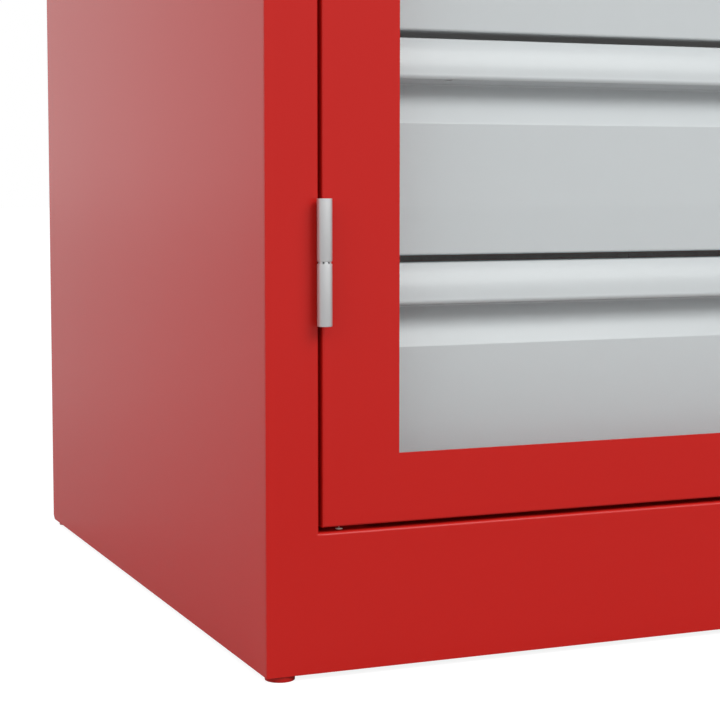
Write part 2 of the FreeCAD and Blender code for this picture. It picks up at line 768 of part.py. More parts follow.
def fixed_rail(index):
    """Channel rail on the left carrier, with its own roller at the front end."""
    middle = rail_level(index)
    half_height = size("rail_height") / 2
    outside_x = (-carrier_half, -carrier_half + size("rail_width"))
    outside = block(f"rail_{index}_outside", outside_x, RAIL_Y, (middle - half_height, middle + half_height))
    hollow = block(
        f"rail_{index}_inside",
        (outside_x[0] + rail_skin, outside_x[1] + 1),
        grown(RAIL_Y, 1),
        (middle - half_height + rail_skin, middle + half_height - rail_skin),
    )
    wheel_x = wheel_span()
    runner_under = middle + size("runner_height") / 2 - rail_skin
    wheel = roller(
        f"front_roller_{index}",
        wheel_x,
        RAIL_Y[0] + size("roller_inset"),
        runner_under - size("roller_play") - size("roller_radius"),
        (outside_x[0] + rail_skin, wheel_x[0]),
    )
    return cut(f"rail_{index}", outside, hollow), wheel


def drawers():
    """The stack of drawers, counted from the floor up, and the fixed rails they run on."""
    rails, wheels = [], []
    for index in range(DRAWER_COUNT):
        number = index + 1
        bottom = drawer_bottom(index)
        sub_part(f"drawer_{number}_front", drawer_front(number, bottom))
        sub_part(f"drawer_{number}_tray", drawer_tray(number, bottom))
        sub_part(f"drawer_{number}_runners", drawer_runners(number, rail_level(index)))
        rail, wheel = fixed_rail(index)
        rails.append(rail)
        wheels.append(wheel)
    sub_part("drawer_rails", both_sides("drawer_rails", group("left_rails", *rails)))
    sub_part("rail_rollers", both_sides("rail_rollers", group("left_rollers", *wheels)))


# ---------------------------------------------------------------- door

hinge_x = place("hinge_x", -door_half - size("door_side_gap") / 2)
hinge_y = place("hinge_y", face - size("hinge_standoff"))
HINGE_LEVELS = (door_bottom + size("hinge_height"), door_top - size("hinge_height"))
handle_x = place("handle_x", window_half + size("door_stile") / 2)
handle_z = place("handle_z", (door_bottom + door_top) / 2 - size("handle_below_middle"))
door_back = face + size("door_thickness")
DOOR_X = (-door_half, door_half)
DOOR_Z = (door_bottom, door_top)
WINDOW_X = (-window_half, window_half)
WINDOW_Z = (window_bottom, window_top)


def door_frame():
    """Folded sheet with a window: a front skin, folded edges and an inner lip."""
    slab = profile("door_slab", "xz", [rectangle(DOOR_X, DOOR_Z)], size("door_thickness"), reverse=True)
    round_edges(slab, size("bend_radius"), lambda corners: all(near(c.y, 0) for c in corners))
    put(slab, y=face)
    cavity = block("door_cavity", grown(DOOR_X, -skin), (face + skin, door_back - skin), grown(DOOR_Z, -skin))
    inset = -skin - size("door_lip")
    mouth = block("door_mouth", grown(DOOR_X, inset), (face + skin, door_back + 1), grown(DOOR_Z, inset))
    window = block("door_window", WINDOW_X, (face - 1, door_back), WINDOW_Z)
    lock_hole = rod(
        "door_lock_hole", "y", (face - 1, door_back), size("barrel_radius"), x=handle_x, z=handle_z
    )
    buffer_x = door_half - size("buffer_inset")
    buffer_holes = [
        rod(
            f"door_buffer_hole_{side}",
            "z",
            (door_bottom - 1, door_bottom + skin),
            size("buffer_radius"),
            x=x,
            y=face + size("buffer_setback"),
        )
        for side, x in (("left", -buffer_x), ("right", buffer_x))
    ]
    frame = cut("door_frame", slab, cavity, mouth, window, lock_hole, *buffer_holes)
    return sub_part("door_frame", frame)


def window():
    """Clear pane behind the door's skin, on a rubber gasket, held by four angle strips."""
    gasket_y = (face + skin, face + skin + size("gasket"))
    pane_y = (gasket_y[1], gasket_y[1] + size("pane"))
    pane_x = grown(WINDOW_X, size("pane_overlap"))
    pane_z = grown(WINDOW_Z, size("pane_overlap"))
    hole_x = grown(WINDOW_X, size("gasket_inset"))
    hole_z = grown(WINDOW_Z, size("gasket_inset"))
    sub_part("window_pane", block("window_pane", pane_x, pane_y, pane_z))
    outside = block("gasket_outside", pane_x, gasket_y, pane_z)
    inner = block("gasket_inside", hole_x, grown(gasket_y, 1), hole_z)
    sub_part("pane_gasket", cut("pane_gasket", outside, inner))

    strip = size("strip")
    play = size("pane_play")
    cover = size("strip_cover")
    leg_y = (gasket_y[0], pane_y[1] + strip)
    cover_y = (pane_y[1], pane_y[1] + strip)
    strips = []
    for name, sign in (("left", -1), ("right", 1)):
        leg = (pane_x[1] + play) * sign
        foot = leg + strip * sign
        lap = leg - (cover + play) * sign
        x_leg = (foot, leg) if sign < 0 else (leg, foot)
        x_lap = (foot, lap) if sign < 0 else (lap, foot)
        upright = block(f"strip_{name}_leg", x_leg, leg_y, grown(pane_z, play))
        flat = block(f"strip_{name}_lap", x_lap, cover_y, grown(pane_z, play))
        strips.append(fuse(f"strip_{name}", upright, flat))
    between = grown(pane_x, -cover)
    for name, edge, sign in (("lower", pane_z[0], -1), ("upper", pane_z[1], 1)):
        leg = edge + play * sign
        foot = leg + strip * sign
        lap = leg - (cover + play) * sign
        z_leg = (foot, leg) if sign < 0 else (leg, foot)
        z_lap = (leg, lap) if sign < 0 else (lap, leg)
        level = block(f"strip_{name}_leg", between, leg_y, z_leg)
        flat = block(f"strip_{name}_lap", between, cover_y, z_lap)
        strips.append(fuse(f"strip_{name}", level, flat))
    sub_part("pane_retainers", group("pane_retainers", *strips))


def door_buffers():
    """Two nylon buffers in the door's lower edge."""
    buffer_x = door_half - size("buffer_inset")
    low = plinth_top + size("buffer_play")
    left = rod(
        "buffer_left",
        "z",
        (low, door_bottom + skin),
        size("buffer_radius"),
        x=-buffer_x,
        y=face + size("buffer_setback"),
    )
    return sub_part("door_buffers", both_sides("door_buffers", left))


def hinges():
    """Two barrel hinges over the gap beside the door: the lower half on the frame, the upper half on
    the door, a washer between them and a pin through both. The leaves go straight back."""
    half_washer = size("hinge_washer") / 2
    reach = size("hinge_length") / 2
    leaf_y = (hinge_y, face + size("leaf_depth"))
    frame_leaf_x = (-opening_half, -opening_half + size("leaf"))
    door_leaf_x = (-door_half - size("leaf"), -door_half)
    frame_halves, door_halves, pins, washers = [], [], [], []
    for name, middle in zip(("lower", "upper"), HINGE_LEVELS):
        centre = {"x": hinge_x, "y": hinge_y}
        lower_z = (middle - reach, middle - half_washer)
        upper_z = (middle + half_washer, middle + reach)
        washer_z = (lower_z[1], upper_z[0])
        pin_z = (lower_z[0] + skin, upper_z[1] - skin)
        for half_name, z, leaf_x, bore, halves in (
            ("frame", lower_z, frame_leaf_x, size("pin_radius"), frame_halves),
            ("door", upper_z, door_leaf_x, size("pin_radius") + size("running_play"), door_halves),
        ):
            title = f"hinge_{name}_{half_name}"
            barrel = rod(title + "_barrel", "z", z, size("hinge_radius"), **centre)
            leaf = block(title + "_leaf", leaf_x, leaf_y, z)
            drilled = rod(title + "_bore", "z", grown(pin_z, size("running_play")), bore, **centre)
            halves.append(cut(title, fuse(title + "_body", barrel, leaf), drilled))
        pins.append(rod(f"hinge_{name}_pin", "z", pin_z, size("pin_radius"), **centre))
        washers.append(
            ring(f"hinge_{name}_washer", "z", washer_z, size("washer_radius"), size("pin_radius"), **centre)
        )
    sub_part("hinge_frame_halves", group("hinge_frame_halves", *frame_halves))
    sub_part("hinge_door_halves", group("hinge_door_halves", *door_halves))
    sub_part("hinge_pins", group("hinge_pins", *pins))
    sub_part("hinge_washers", group("hinge_washers", *washers))


def door_lock():
    """Turning handle in a round housing, with a flat cam that turns behind the frame's folded edge."""
    centre = {"x": handle_x, "z": handle_z}
    spindle = size("spindle_radius")
    flange_y = (face - size("housing_flange"), face)
    barrel_y = (face, door_back)
    flange = rod("housing_flange", "y", flange_y, size("housing_radius"), **centre)
    barrel = rod("housing_barrel", "y", barrel_y, size("barrel_radius"), **centre)
    bore = rod(
        "housing_bore", "y", grown((flange_y[0], door_back), 1), spindle + size("running_play"), **centre
    )
    sub_part("lock_housing", cut("lock_housing", fuse("housing_body", flange, barrel), bore))

    cam_y = (frame_back + size("cam_play"), frame_back + size("cam_play") + size("cam"))
    knob_y = (flange_y[0] - size("knob_height"), flange_y[0])
    wing_half = size("knob_length") / 2
    wing_side = size("knob_width") / 2
    wing = profile(
        "handle_wing",
        "xz",
        [rectangle((-wing_side, wing_side), (-wing_half, wing_half))],
        size("knob_height"),
        reverse=True,
    )

    def front_or_end(corners):
        along_depth = near(corners[0].x, corners[-1].x) and near(corners[0].z, corners[-1].z)
        return along_depth or all(near(c.y, 0) for c in corners)

    round_edges(wing, size("knob_round"), front_or_end)
    put(wing, handle_x, knob_y[0], handle_z)
    collar_y = (knob_y[1] - size("collar_height"), knob_y[1])
    collar = rod("handle_collar", "y", collar_y, size("collar_radius"), **centre)
    shaft = rod("handle_shaft", "y", (knob_y[1], cam_y[1]), spindle, **centre)
    sub_part("door_handle", fuse("door_handle", wing, collar, shaft))

    cam_x = (handle_x - size("cam_width") / 2, handle_x + size("cam_width") / 2)
    cam_z = (handle_z - size("cam_width") / 2, handle_z + size("cam_reach"))
    plate = block("cam_plate", cam_x, cam_y, cam_z)
    square = rod("cam_hole", "y", grown(cam_y, 1), spindle, **centre)
    sub_part("lock_cam", cut("lock_cam", plate, square))


# ---------------------------------------------------------------- roll front

guide_y = (frame_back, frame_back + skin * 2 + size("guide_depth"))
guide_mouth = place("guide_mouth", opening_half + size("guide_gap"))
guide_outer = place("guide_outer", guide_mouth + size("guide_cover") + skin)
curtain_half = place("curtain_half", guide_outer - skin - size("curtain_play"))
curtain_front = place("curtain_front", frame_back + skin + size("curtain_play"))
bar_front = place("bar_front", frame_back + skin + (size("guide_depth") - size("bar_thickness")) / 2)
bolt_side = place("bolt_side", size("bar_thickness") / 2 - size("bar_wall") - size("bolt_clearance"))
bar_bottom = place("bar_bottom", deck_level + size("seal_play") + size("seal_height"))
bar_top = place("bar_top", bar_bottom + size("bar_height"))
lock_z = place("lock_z", bar_bottom + size("lock_rise"))
drum_y = place("drum_y", face + skin + size("coil_play") + size("coil_radius"))
drum_z = place("drum_z", header_bottom + size("drum_rise"))
slat_count = int((header_bottom.number - bar_top.number) / size("slat_pitch").number) + 1
slats_top = place("slats_top", bar_top + size("slat_pitch") * slat_count)


def shutter_guides():
    """Upright channels behind the posts, with a slot for the bolt of the bottom bar."""
    web = (-guide_outer, -guide_outer + skin)
    z = (deck_level, header_bottom + size("guide_rise"))
    outside = block("guide_outside", (-guide_outer, -guide_mouth), guide_y, z)
    hollow = block("guide_inside", (web[1], -guide_mouth + 1), grown(guide_y, -skin), grown(z, 1))
    bolt_middle = bar_front + size("bar_thickness") / 2
    slot_y = bolt_side + size("bolt_play")
    slot_z = size("bolt_height") / 2 + size("bolt_play")
    slot = block(
        "guide_slot",
        grown(web, 1),
        (bolt_middle - slot_y, bolt_middle + slot_y),
        (lock_z - slot_z, lock_z + slot_z),
    )
    left = cut("left_shutter_guide", outside, hollow, slot)
    sub_part("left_shutter_guide", left)
    sub_part("right_shutter_guide", mirrored("right_shutter_guide", left))


def curtain():
    """Hollow slats with a curved face, and the straps that join the top slat to the drum."""
    crown = size("slat_crown")
    height = size("slat_pitch") - size("slat_gap")
    depth = size("slat_thickness")
    wall = size("slat_wall")
    face_radius = place("slat_radius", slat_curve(height, crown))
    outer = [(crown, height, face_radius), (crown, 0), (depth, 0), (depth, height)]
    inner = [
        (crown + wall, height - wall, face_radius - wall),
        (crown + wall, wall),
        (depth - wall, wall),
        (depth - wall, height - wall),
    ]
    slat = profile("slat", "yz", [outer, inner], curtain_half * 2, both=True)
    put(slat, y=curtain_front, z=bar_top)
    copies = [
        repeat(f"slat_{index}", slat, y=curtain_front, z=bar_top + size("slat_pitch") * index)
        for index in range(1, slat_count)
    ]
    sub_part("curtain_slats", group("curtain_slats", slat, *copies))

    strap_y = curtain_front + depth / 2
    tangent_y = drum_y - size("drum_radius")
    strap = size("strap")
    outline = [
        (strap_y, slats_top),
        (strap_y + strap, slats_top),
        (tangent_y, drum_z),
        (tangent_y - strap, drum_z),
    ]
    middle = profile("strap", "yz", [outline], size("strap_width"), both=True)
    sides = [
        repeat(f"strap_{name}", middle, x=x)
        for name, x in (("left", -size("strap_spacing")), ("right", size("strap_spacing")))
    ]
    sub_part("curtain_straps", group("curtain_straps", middle, *sides))


def slat_curve(height, crown):
    """Radius of an arc over a chord of the slat's height with the slat's crown."""
    number = (height.number**2 / 4 + crown.number**2) / (2 * crown.number)
    text = f"(({height.text} * {height.text} / 4 + {crown.text} * {crown.text}) / (2 * {crown.text}))"
    return Length(number, text)


def bottom_bar():
    """Hollow bar along the curtain's lower edge, with a grip ledge and a rubber seal."""
    wall = size("bar_wall")
    x = (-curtain_half, curtain_half)
    y = (bar_front, bar_front + size("bar_thickness"))
    outside = block("bar_outside", x, y, (bar_bottom, bar_top))
    hollow = block("bar_inside", grown(x, 1), grown(y, -wall), grown((bar_bottom, bar_top), -wall))
    lock_hole = rod(
        "bar_lock_hole",
        "y",
        (y[0] - 1, y[0] + wall + 1),
        size("lock_radius") + size("running_play"),
        z=lock_z,
    )
    sub_part("shutter_bar", cut("shutter_bar", outside, hollow, lock_hole))

    sheet_size = size("grip_sheet")
    ledge_z = bar_bottom + size("grip_rise")
    reach = bar_front - size("grip_reach")
    outline = [
        (bar_front, ledge_z),
        (bar_front, ledge_z + sheet_size),
        (reach + sheet_size, ledge_z + sheet_size),
        (reach + sheet_size, ledge_z + size("grip_lip")),
        (reach, ledge_z + size("grip_lip")),
        (reach, ledge_z),
    ]
    sub_part("shutter_grip", profile("shutter_grip", "yz", [outline], size("grip_length"), both=True))

    seal_y = bar_front + (size("bar_thickness") - size("seal_thickness")) / 2
    seal = block(
        "shutter_seal",
        x,
        (seal_y, seal_y + size("seal_thickness")),
        (deck_level + size("seal_play"), bar_bottom),
    )
    sub_part("shutter_seal", seal)


def bar_lock():
    """Lock cylinder with a flat drive plate, and a sliding bolt on each side inside the bar."""
    middle = bar_front + size("bar_thickness") / 2
    bolt_y = (middle - bolt_side, middle + bolt_side)
    plug_y = (bar_front - size("lock_reach"), bolt_y[0])
    plug = rod("lock_plug", "y", plug_y, size("lock_radius"), z=lock_z)
    keyway = block(
        "lock_keyway",
        (-size("keyway_width") / 2, size("keyway_width") / 2),
        (plug_y[0] - 1, bar_front + size("bar_wall")),
        (lock_z - size("keyway_height") / 2, lock_z + size("keyway_height") / 2),
    )
    drive_half = size("bolt_start") - size("bolt_play")
    drive = block(
        "lock_drive",
        (-size("drive_width") / 2, size("drive_width") / 2),
        bolt_y,
        (lock_z - drive_half, lock_z + drive_half),
    )
    sub_part("shutter_lock", cut("shutter_lock", fuse("lock_body", plug, drive), keyway))
    bolt_x = (-curtain_half + size("curtain_play"), -size("bolt_start"))
    bolt_z = (lock_z - size("bolt_height") / 2, lock_z + size("bolt_height") / 2)
    left = block("left_bolt", bolt_x, bolt_y, bolt_z)
    sub_part("left_bolt", left)
    sub_part("right_bolt", mirrored("right_bolt", left))


def drum():
    """Winding tube with a bearing plug in each end, on a fixed axle with a counterbalance spring."""
    tube_half = inside - size("drum_end_gap")
    bore = size("drum_radius") - size("drum_wall")
    centre = {"y": drum_y, "z": drum_z}
    across = (-tube_half, tube_half)
    sub_part("drum_tube", ring("drum_tube", "x", across, size("drum_radius"), bore, **centre))
    plug_x = (-tube_half, -tube_half + size("bearing_length"))
    play = size("axle_radius") + size("running_play")
    sub_part("drum_bearings", both_sides("drum_bearings", ring("bearing", "x", plug_x, bore, play, **centre)))
    sub_part("drum_axle", rod("drum_axle", "x", (-inside, inside), size("axle_radius"), **centre))
    spring_half = size("spring_length") / 2
    coil = ring(
        "counterbalance_spring",
        "x",
        (-spring_half, spring_half),
        size("spring_radius"),
        size("axle_radius") + size("roller_play"),
        **centre,
    )
    sub_part("counterbalance_spring", coil)
    plate_half = size("bracket_size") / 2
    plate = block(
        "bracket_plate",
        (-inside, -inside + size("bracket")),
        (drum_y - plate_half, drum_y + plate_half),
        (drum_z - plate_half, drum_z + plate_half),
    )
    hole = rod(
        "bracket_hole", "x", (-inside - 1, -inside + size("bracket") + 1), size("axle_radius"), **centre
    )
    sub_part("drum_brackets", both_sides("drum_brackets", cut("bracket", plate, hole)))


# ---------------------------------------------------------------- shelves


def shelf_strips():
    """Slotted upright channels on the side panels, two on each side."""
    wall = skin
    z = (deck_level, header_bottom)
    strips = []
    slot_total = int((z[1].number - z[0].number) / size("slot_pitch").number)
    for name, setback in (("front", size("strip_front")), ("back", size("strip_back"))):
        y = (face + setback, face + setback + size("strip_width"))
        x = (-inside, -inside + size("strip_depth"))
        outside = block(f"strip_{name}_outside", x, y, z)
        hollow = block(f"strip_{name}_inside", (x[0] - 1, x[1] - wall), grown(y, -wall), grown(z, 1))
        middle = y[0] + size("strip_width") / 2
        slot_z = z[0] + size("slot_pitch") / 2
        slot = block(
            f"strip_{name}_slot",
            (x[1] - wall - 1, x[1] + 1),
            (middle - size("slot_width") / 2, middle + size("slot_width") / 2),
            (slot_z, slot_z + size("slot_height")),
        )
        more = [
            repeat(
                f"strip_{name}_slot_{index}",
                slot,
                x=x[1] - wall - 1,
                y=middle - size("slot_width") / 2,
                z=slot_z + size("slot_pitch") * index,
            )
            for index in range(1, slot_total)
        ]
        slots = group(f"strip_{name}_slots", slot, *more)
        strips.append(cut(f"strip_{name}", cut(f"strip_{name}_channel", outside, hollow), slots))
    return sub_part("shelf_strips", both_sides("shelf_strips", group("left_strips", *strips)))


def shelves():
    """Shelves with their edges folded down, each on four angle clips."""
    strip_face = inside - size("strip_depth")
    shelf_half = strip_face - size("shelf_play")
    depth = (face + size("shelf_front"), panel_back - size("shelf_rear_gap"))
    clips = []
    clip = size("clip")
    leg = size("clip_size")
    for index in range(SHELF_COUNT):
        under = deck_level + size("shelf_pitch") * (index + 1)
        node = f"shelf_{index + 1}"
        shelf = pan(node, (-shelf_half, shelf_half), depth, (under, under + size("fold")), skin)
        sub_part(node, shelf)
        for name, setback in (("front", size("strip_front")), ("back", size("strip_back"))):
            y = (face + setback, face + setback + size("strip_width"))
            upright = block(
                f"clip_{name}_{index}_leg", (-strip_face, -strip_face + clip), y, (under - leg, under)
            )
            seat = block(
                f"clip_{name}_{index}_seat", (-strip_face, -strip_face + leg), y, (under - clip, under)
            )
            clips.append(fuse(f"clip_{name}_{index}", upright, seat))
    sub_part("shelf_clips", both_sides("shelf_clips", group("left_clips", *clips)))


# ---------------------------------------------------------------- the whole cabinet


def build():
    front_frame()
    side_panels()
    back_panel()
    level_panels()
    base_and_feet()
    drawer_carriers()
    drawers()
    door_frame()
    window()
    door_buffers()
    hinges()
    door_lock()
    shutter_guides()
    curtain()
    bottom_bar()
    bar_lock()
    drum()
    shelf_strips()
    shelves()
    doc.recompute()


def check():
    """Stops with a message if any object failed or any sub-part is missing or broken."""
    for thing in doc.Objects:
        if "Invalid" in thing.State or "Error" in thing.State:
            raise RuntimeError(f"{thing.Name} failed: {thing.State}")
    for node, thing in sub_parts.items():
        shape = thing.Shape
        if shape.isNull() or not shape.Solids or not shape.isValid():
            raise RuntimeError(f"{node} has no valid shape")


def write():
    """Writes each sub-part to its own STEP file."""
    os.makedirs("parts", exist_ok=True)
    for node, thing in sub_parts.items():
        thing.Shape.exportStep(f"parts/{node}.step")
        print(f"{node}: {len(thing.Shape.Solids)} solids, {thing.Shape.Volume / 1000:.1f} cm3")


build()
check()
write()
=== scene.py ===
"""Roll front tool cabinet: camera, light, materials and the finer pieces, in metres.

+Z is up, +X is to the viewer's right, and the cabinet's front faces -Y.
"""

import json
import math

import bmesh
import bpy
from mathutils import Matrix, Vector


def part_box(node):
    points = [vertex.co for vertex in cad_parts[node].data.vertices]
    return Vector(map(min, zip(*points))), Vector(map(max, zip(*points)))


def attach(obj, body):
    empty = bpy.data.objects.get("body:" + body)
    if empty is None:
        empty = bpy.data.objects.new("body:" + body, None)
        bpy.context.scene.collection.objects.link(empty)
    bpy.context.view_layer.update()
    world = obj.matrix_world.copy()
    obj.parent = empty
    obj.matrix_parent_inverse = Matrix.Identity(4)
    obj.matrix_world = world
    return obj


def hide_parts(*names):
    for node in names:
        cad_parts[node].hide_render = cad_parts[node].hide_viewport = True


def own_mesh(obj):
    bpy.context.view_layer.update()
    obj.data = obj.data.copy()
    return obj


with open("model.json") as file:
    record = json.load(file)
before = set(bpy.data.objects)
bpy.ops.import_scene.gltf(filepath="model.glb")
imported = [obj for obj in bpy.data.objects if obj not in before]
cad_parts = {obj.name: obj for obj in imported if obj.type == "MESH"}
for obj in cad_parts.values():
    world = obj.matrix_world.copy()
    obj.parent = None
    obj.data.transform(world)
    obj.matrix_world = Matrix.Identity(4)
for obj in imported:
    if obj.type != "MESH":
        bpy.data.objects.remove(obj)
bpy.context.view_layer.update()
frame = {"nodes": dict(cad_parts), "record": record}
NODES = frame["nodes"]

# ---------------------------------------------------------------- colours and finishes (linear RGB)

RED = (0.525, 0.0125, 0.0090)
DRAWER_GREY = (0.605, 0.630, 0.646)
HINGE_GREY = (0.65, 0.66, 0.665)
ZINC = (0.42, 0.43, 0.44)
STEEL = (0.62, 0.62, 0.63)
SLAT_GREY = (0.50, 0.52, 0.53)
ANODISED = (0.60, 0.61, 0.62)
RUBBER_BLACK = (0.014, 0.014, 0.015)
PLASTIC_BLACK = (0.018, 0.019, 0.021)
NYLON = (0.58, 0.57, 0.52)
GLIDE_RED = (0.50, 0.012, 0.009)
WEB_GREY = (0.045, 0.048, 0.055)
PANE_IOR = 1.45


class Shader:
    """A procedural material. Its texture coordinates are the object's own, in metres."""

    def __init__(self, name, color, roughness, metallic=0.0, specular=0.5):
        self.material = bpy.data.materials.new(name)
        self.material.use_nodes = True
        self.tree = self.material.node_tree
        self.surface = self.tree.nodes["Principled BSDF"]
        self.surface.inputs["Base Color"].default_value = (*color, 1)
        self.surface.inputs["Roughness"].default_value = roughness
        self.surface.inputs["Metallic"].default_value = metallic
        self.surface.inputs["Specular IOR Level"].default_value = specular
        self.color = color
        self.place = self.add("ShaderNodeTexCoord").outputs["Object"]
        self.last_bump = None

    def add(self, kind, **values):
        """A node with its inputs set by name. A plain value sets a socket, an output is linked."""
        node = self.tree.nodes.new(kind)
        for key, value in values.items():
            socket = node.inputs[key.replace("_", " ")]
            if isinstance(value, bpy.types.NodeSocket):
                self.tree.links.new(value, socket)
            else:
                socket.default_value = value
        return node

    def link(self, output, socket_name):
        """Links an output to a socket of the surface."""
        self.tree.links.new(output, self.surface.inputs[socket_name])

    def noise(self, scale, detail=2.0, stretch=None):
        """Noise of a given number of features per metre, drawn out along the axes in stretch."""
        place = self.place
        if stretch:
            place = self.add("ShaderNodeMapping", Vector=place, Scale=stretch).outputs["Vector"]
        noise = self.add("ShaderNodeTexNoise", Vector=place, Scale=scale, Detail=detail)
        return noise.outputs["Fac"]

    def ramp(self, value, low, high):
        """Value 0.3 to 0.7 spread from low to high."""
        node = self.add("ShaderNodeMapRange", Value=value)
        node.inputs["From Min"].default_value = 0.3
        node.inputs["From Max"].default_value = 0.7
        node.inputs["To Min"].default_value = low
        node.inputs["To Max"].default_value = high
        return node.outputs["Result"]

    def vary_color(self, value, amount):
        """The colour darkens and lightens by the amount, as a share."""
        mix = self.tree.nodes.new("ShaderNodeMix")
        mix.data_type = "RGBA"
        self.tree.links.new(self.ramp(value, 0, 1), mix.inputs["Factor"])
        shares = {"A": 1 - amount, "B": 1 + amount}
        for socket in mix.inputs:
            if socket.type == "RGBA":
                share = shares[socket.name]
                socket.default_value = (*(channel * share for channel in self.color), 1)
        result = next(socket for socket in mix.outputs if socket.type == "RGBA")
        self.link(result, "Base Color")

    def vary_roughness(self, value, low, high):
        """The roughness runs from low to high."""
        self.link(self.ramp(value, low, high), "Roughness")

    def bump(self, height, distance, strength=1.0):
        """Raises the surface by up to the distance, over any bump added before."""
        node = self.add("ShaderNodeBump", Height=height, Distance=distance, Strength=strength)
        if self.last_bump:
            self.tree.links.new(self.last_bump, node.inputs["Normal"])
        self.last_bump = node.outputs["Normal"]
        self.link(self.last_bump, "Normal")


def paint(name, color, roughness=0.26, specular=0.23):
    """Semi-gloss powder coat with a faint orange peel."""
    shader = Shader(name, color, roughness, specular=specular)
    shader.vary_color(shader.noise(3, 3), 0.004)
    shader.vary_roughness(shader.noise(6, 2), roughness - 0.004, roughness + 0.004)
    shader.bump(shader.noise(420, 1), 0.000004, 0.06)
    return shader.material


def zinc(name):
    """Zinc plated sheet: cloudy, with fine rolling lines."""
    shader = Shader(name, ZINC, 0.34, metallic=1.0)
    shader.vary_color(shader.noise(45, 4), 0.10)
    shader.vary_roughness(shader.noise(70, 3), 0.26, 0.42)
    shader.bump(shader.noise(1600, 2, stretch=(1, 0.05, 1)), 0.00002, 0.3)
    return shader.material


def satin_metal(name):
    """Blasted and clear-coated metal: bright all round, with hardly a highlight."""
    shader = Shader(name, HINGE_GREY, 0.42, metallic=0.7, specular=0.3)
    shader.vary_color(shader.noise(60, 3), 0.012)
    shader.vary_roughness(shader.noise(260, 3), 0.39, 0.45)
    shader.bump(shader.noise(2600, 1), 0.000006, 0.2)
    return shader.material


def polished(name):
    """Ground and polished steel."""
    shader = Shader(name, STEEL, 0.16, metallic=1.0)
    shader.vary_roughness(shader.noise(220, 3), 0.12, 0.22)
    shader.bump(shader.noise(2500, 2, stretch=(1, 1, 0.08)), 0.00001, 0.3)
    return shader.material


def anodised(name):
    """Anodised aluminium extrusion with lines along its length."""
    shader = Shader(name, ANODISED, 0.30, metallic=1.0)
    shader.vary_color(shader.noise(25, 2), 0.03)
    shader.vary_roughness(shader.noise(500, 3, stretch=(0.02, 1, 1)), 0.25, 0.37)
    shader.bump(shader.noise(1800, 2, stretch=(0.01, 1, 1)), 0.00001, 0.4)
    return shader.material


def rubber(name):
    """Soft black rubber with a dull, fine grain."""
    shader = Shader(name, RUBBER_BLACK, 0.62, specular=0.4)
    shader.vary_roughness(shader.noise(300, 3), 0.52, 0.72)
    shader.bump(shader.noise(1500, 2), 0.00004, 0.4)
    return shader.material


def grained_plastic(name, color=PLASTIC_BLACK, roughness=0.45, specular=0.5):
    """Moulded plastic with a fine spark-eroded grain."""
    shader = Shader(name, color, roughness, specular=specular)
    shader.vary_roughness(shader.noise(400, 3), roughness - 0.07, roughness + 0.07)
    grain = shader.add("ShaderNodeTexVoronoi", Vector=shader.place, Scale=1800.0)
    shader.bump(grain.outputs["Distance"], 0.00004, 0.35)
    return shader.material


def nylon(name):
    """Pale nylon that light enters a little."""
    shader = Shader(name, NYLON, 0.42)
    shader.surface.inputs["Subsurface Weight"].default_value = 0.15
    shader.surface.inputs["Subsurface Radius"].default_value = (0.002, 0.0018, 0.0014)
    shader.vary_color(shader.noise(120, 2), 0.03)
    shader.bump(shader.noise(900, 2), 0.00002, 0.3)
    return shader.material


def webbing(name):
    """Woven strap: ribs across its width and finer ones along it."""
    shader = Shader(name, WEB_GREY, 0.85, specular=0.2)
    shader.surface.inputs["Sheen Weight"].default_value = 0.25
    ribs = shader.add("ShaderNodeTexWave", Vector=shader.place, Scale=180.0, Distortion=0.6)
    ribs.bands_direction = "Z"
    warp = shader.add("ShaderNodeTexWave", Vector=shader.place, Scale=260.0, Distortion=0.4)
    warp.bands_direction = "X"
    shader.bump(ribs.outputs["Fac"], 0.0003, 0.6)
    shader.bump(warp.outputs["Fac"], 0.0002, 0.4)
    shader.vary_color(ribs.outputs["Fac"], 0.25)
    return shader.material


def pane_glass(name):
    """Clear pane: light passes straight through, and both its faces reflect by their angle."""
    shader = Shader(name, (1, 1, 1), 0.03)
    nodes, links = shader.tree.nodes, shader.tree.links
    clear = nodes.new("ShaderNodeBsdfTransparent")
    clear.inputs["Color"].default_value = (0.985, 0.99, 0.988, 1)
    gloss = nodes.new("ShaderNodeBsdfGlossy")
    gloss.inputs["Roughness"].default_value = 0.02
    side = nodes.new("ShaderNodeNewGeometry").outputs["Backfacing"]
    ior = shader.add("ShaderNodeMapRange", Value=side)
    ior.inputs["To Min"].default_value = PANE_IOR
    ior.inputs["To Max"].default_value = 1 / PANE_IOR
    fresnel = shader.add("ShaderNodeFresnel", IOR=ior.outputs["Result"])
    mix = nodes.new("ShaderNodeMixShader")
    links.new(fresnel.outputs["Fac"], mix.inputs["Fac"])
    links.new(clear.outputs["BSDF"], mix.inputs[1])
    links.new(gloss.outputs["BSDF"], mix.inputs[2])
    links.new(mix.outputs["Shader"], nodes["Material Output"].inputs["Surface"])
    nodes.remove(shader.surface)
    return shader.material


MATERIALS = {
    "red_paint": paint("red_paint", RED),
    "grey_paint": paint("grey_paint", DRAWER_GREY, specular=0.34),
    "hinge_grey": satin_metal("hinge_grey"),
    "zinc_steel": zinc("zinc_steel"),
    "bright_steel": polished("bright_steel"),
    "slat_aluminium": paint("slat_aluminium", SLAT_GREY, roughness=0.38),
    "bar_aluminium": anodised("bar_aluminium"),
    "clear_pane": pane_glass("clear_pane"),
    "black_rubber": rubber("black_rubber"),
    "black_plastic": grained_plastic("black_plastic"),
    "pale_nylon": nylon("pale_nylon"),
    "red_plastic": grained_plastic("red_plastic", GLIDE_RED, roughness=0.35, specular=0.2),
    "strap_web": webbing("strap_web"),
}


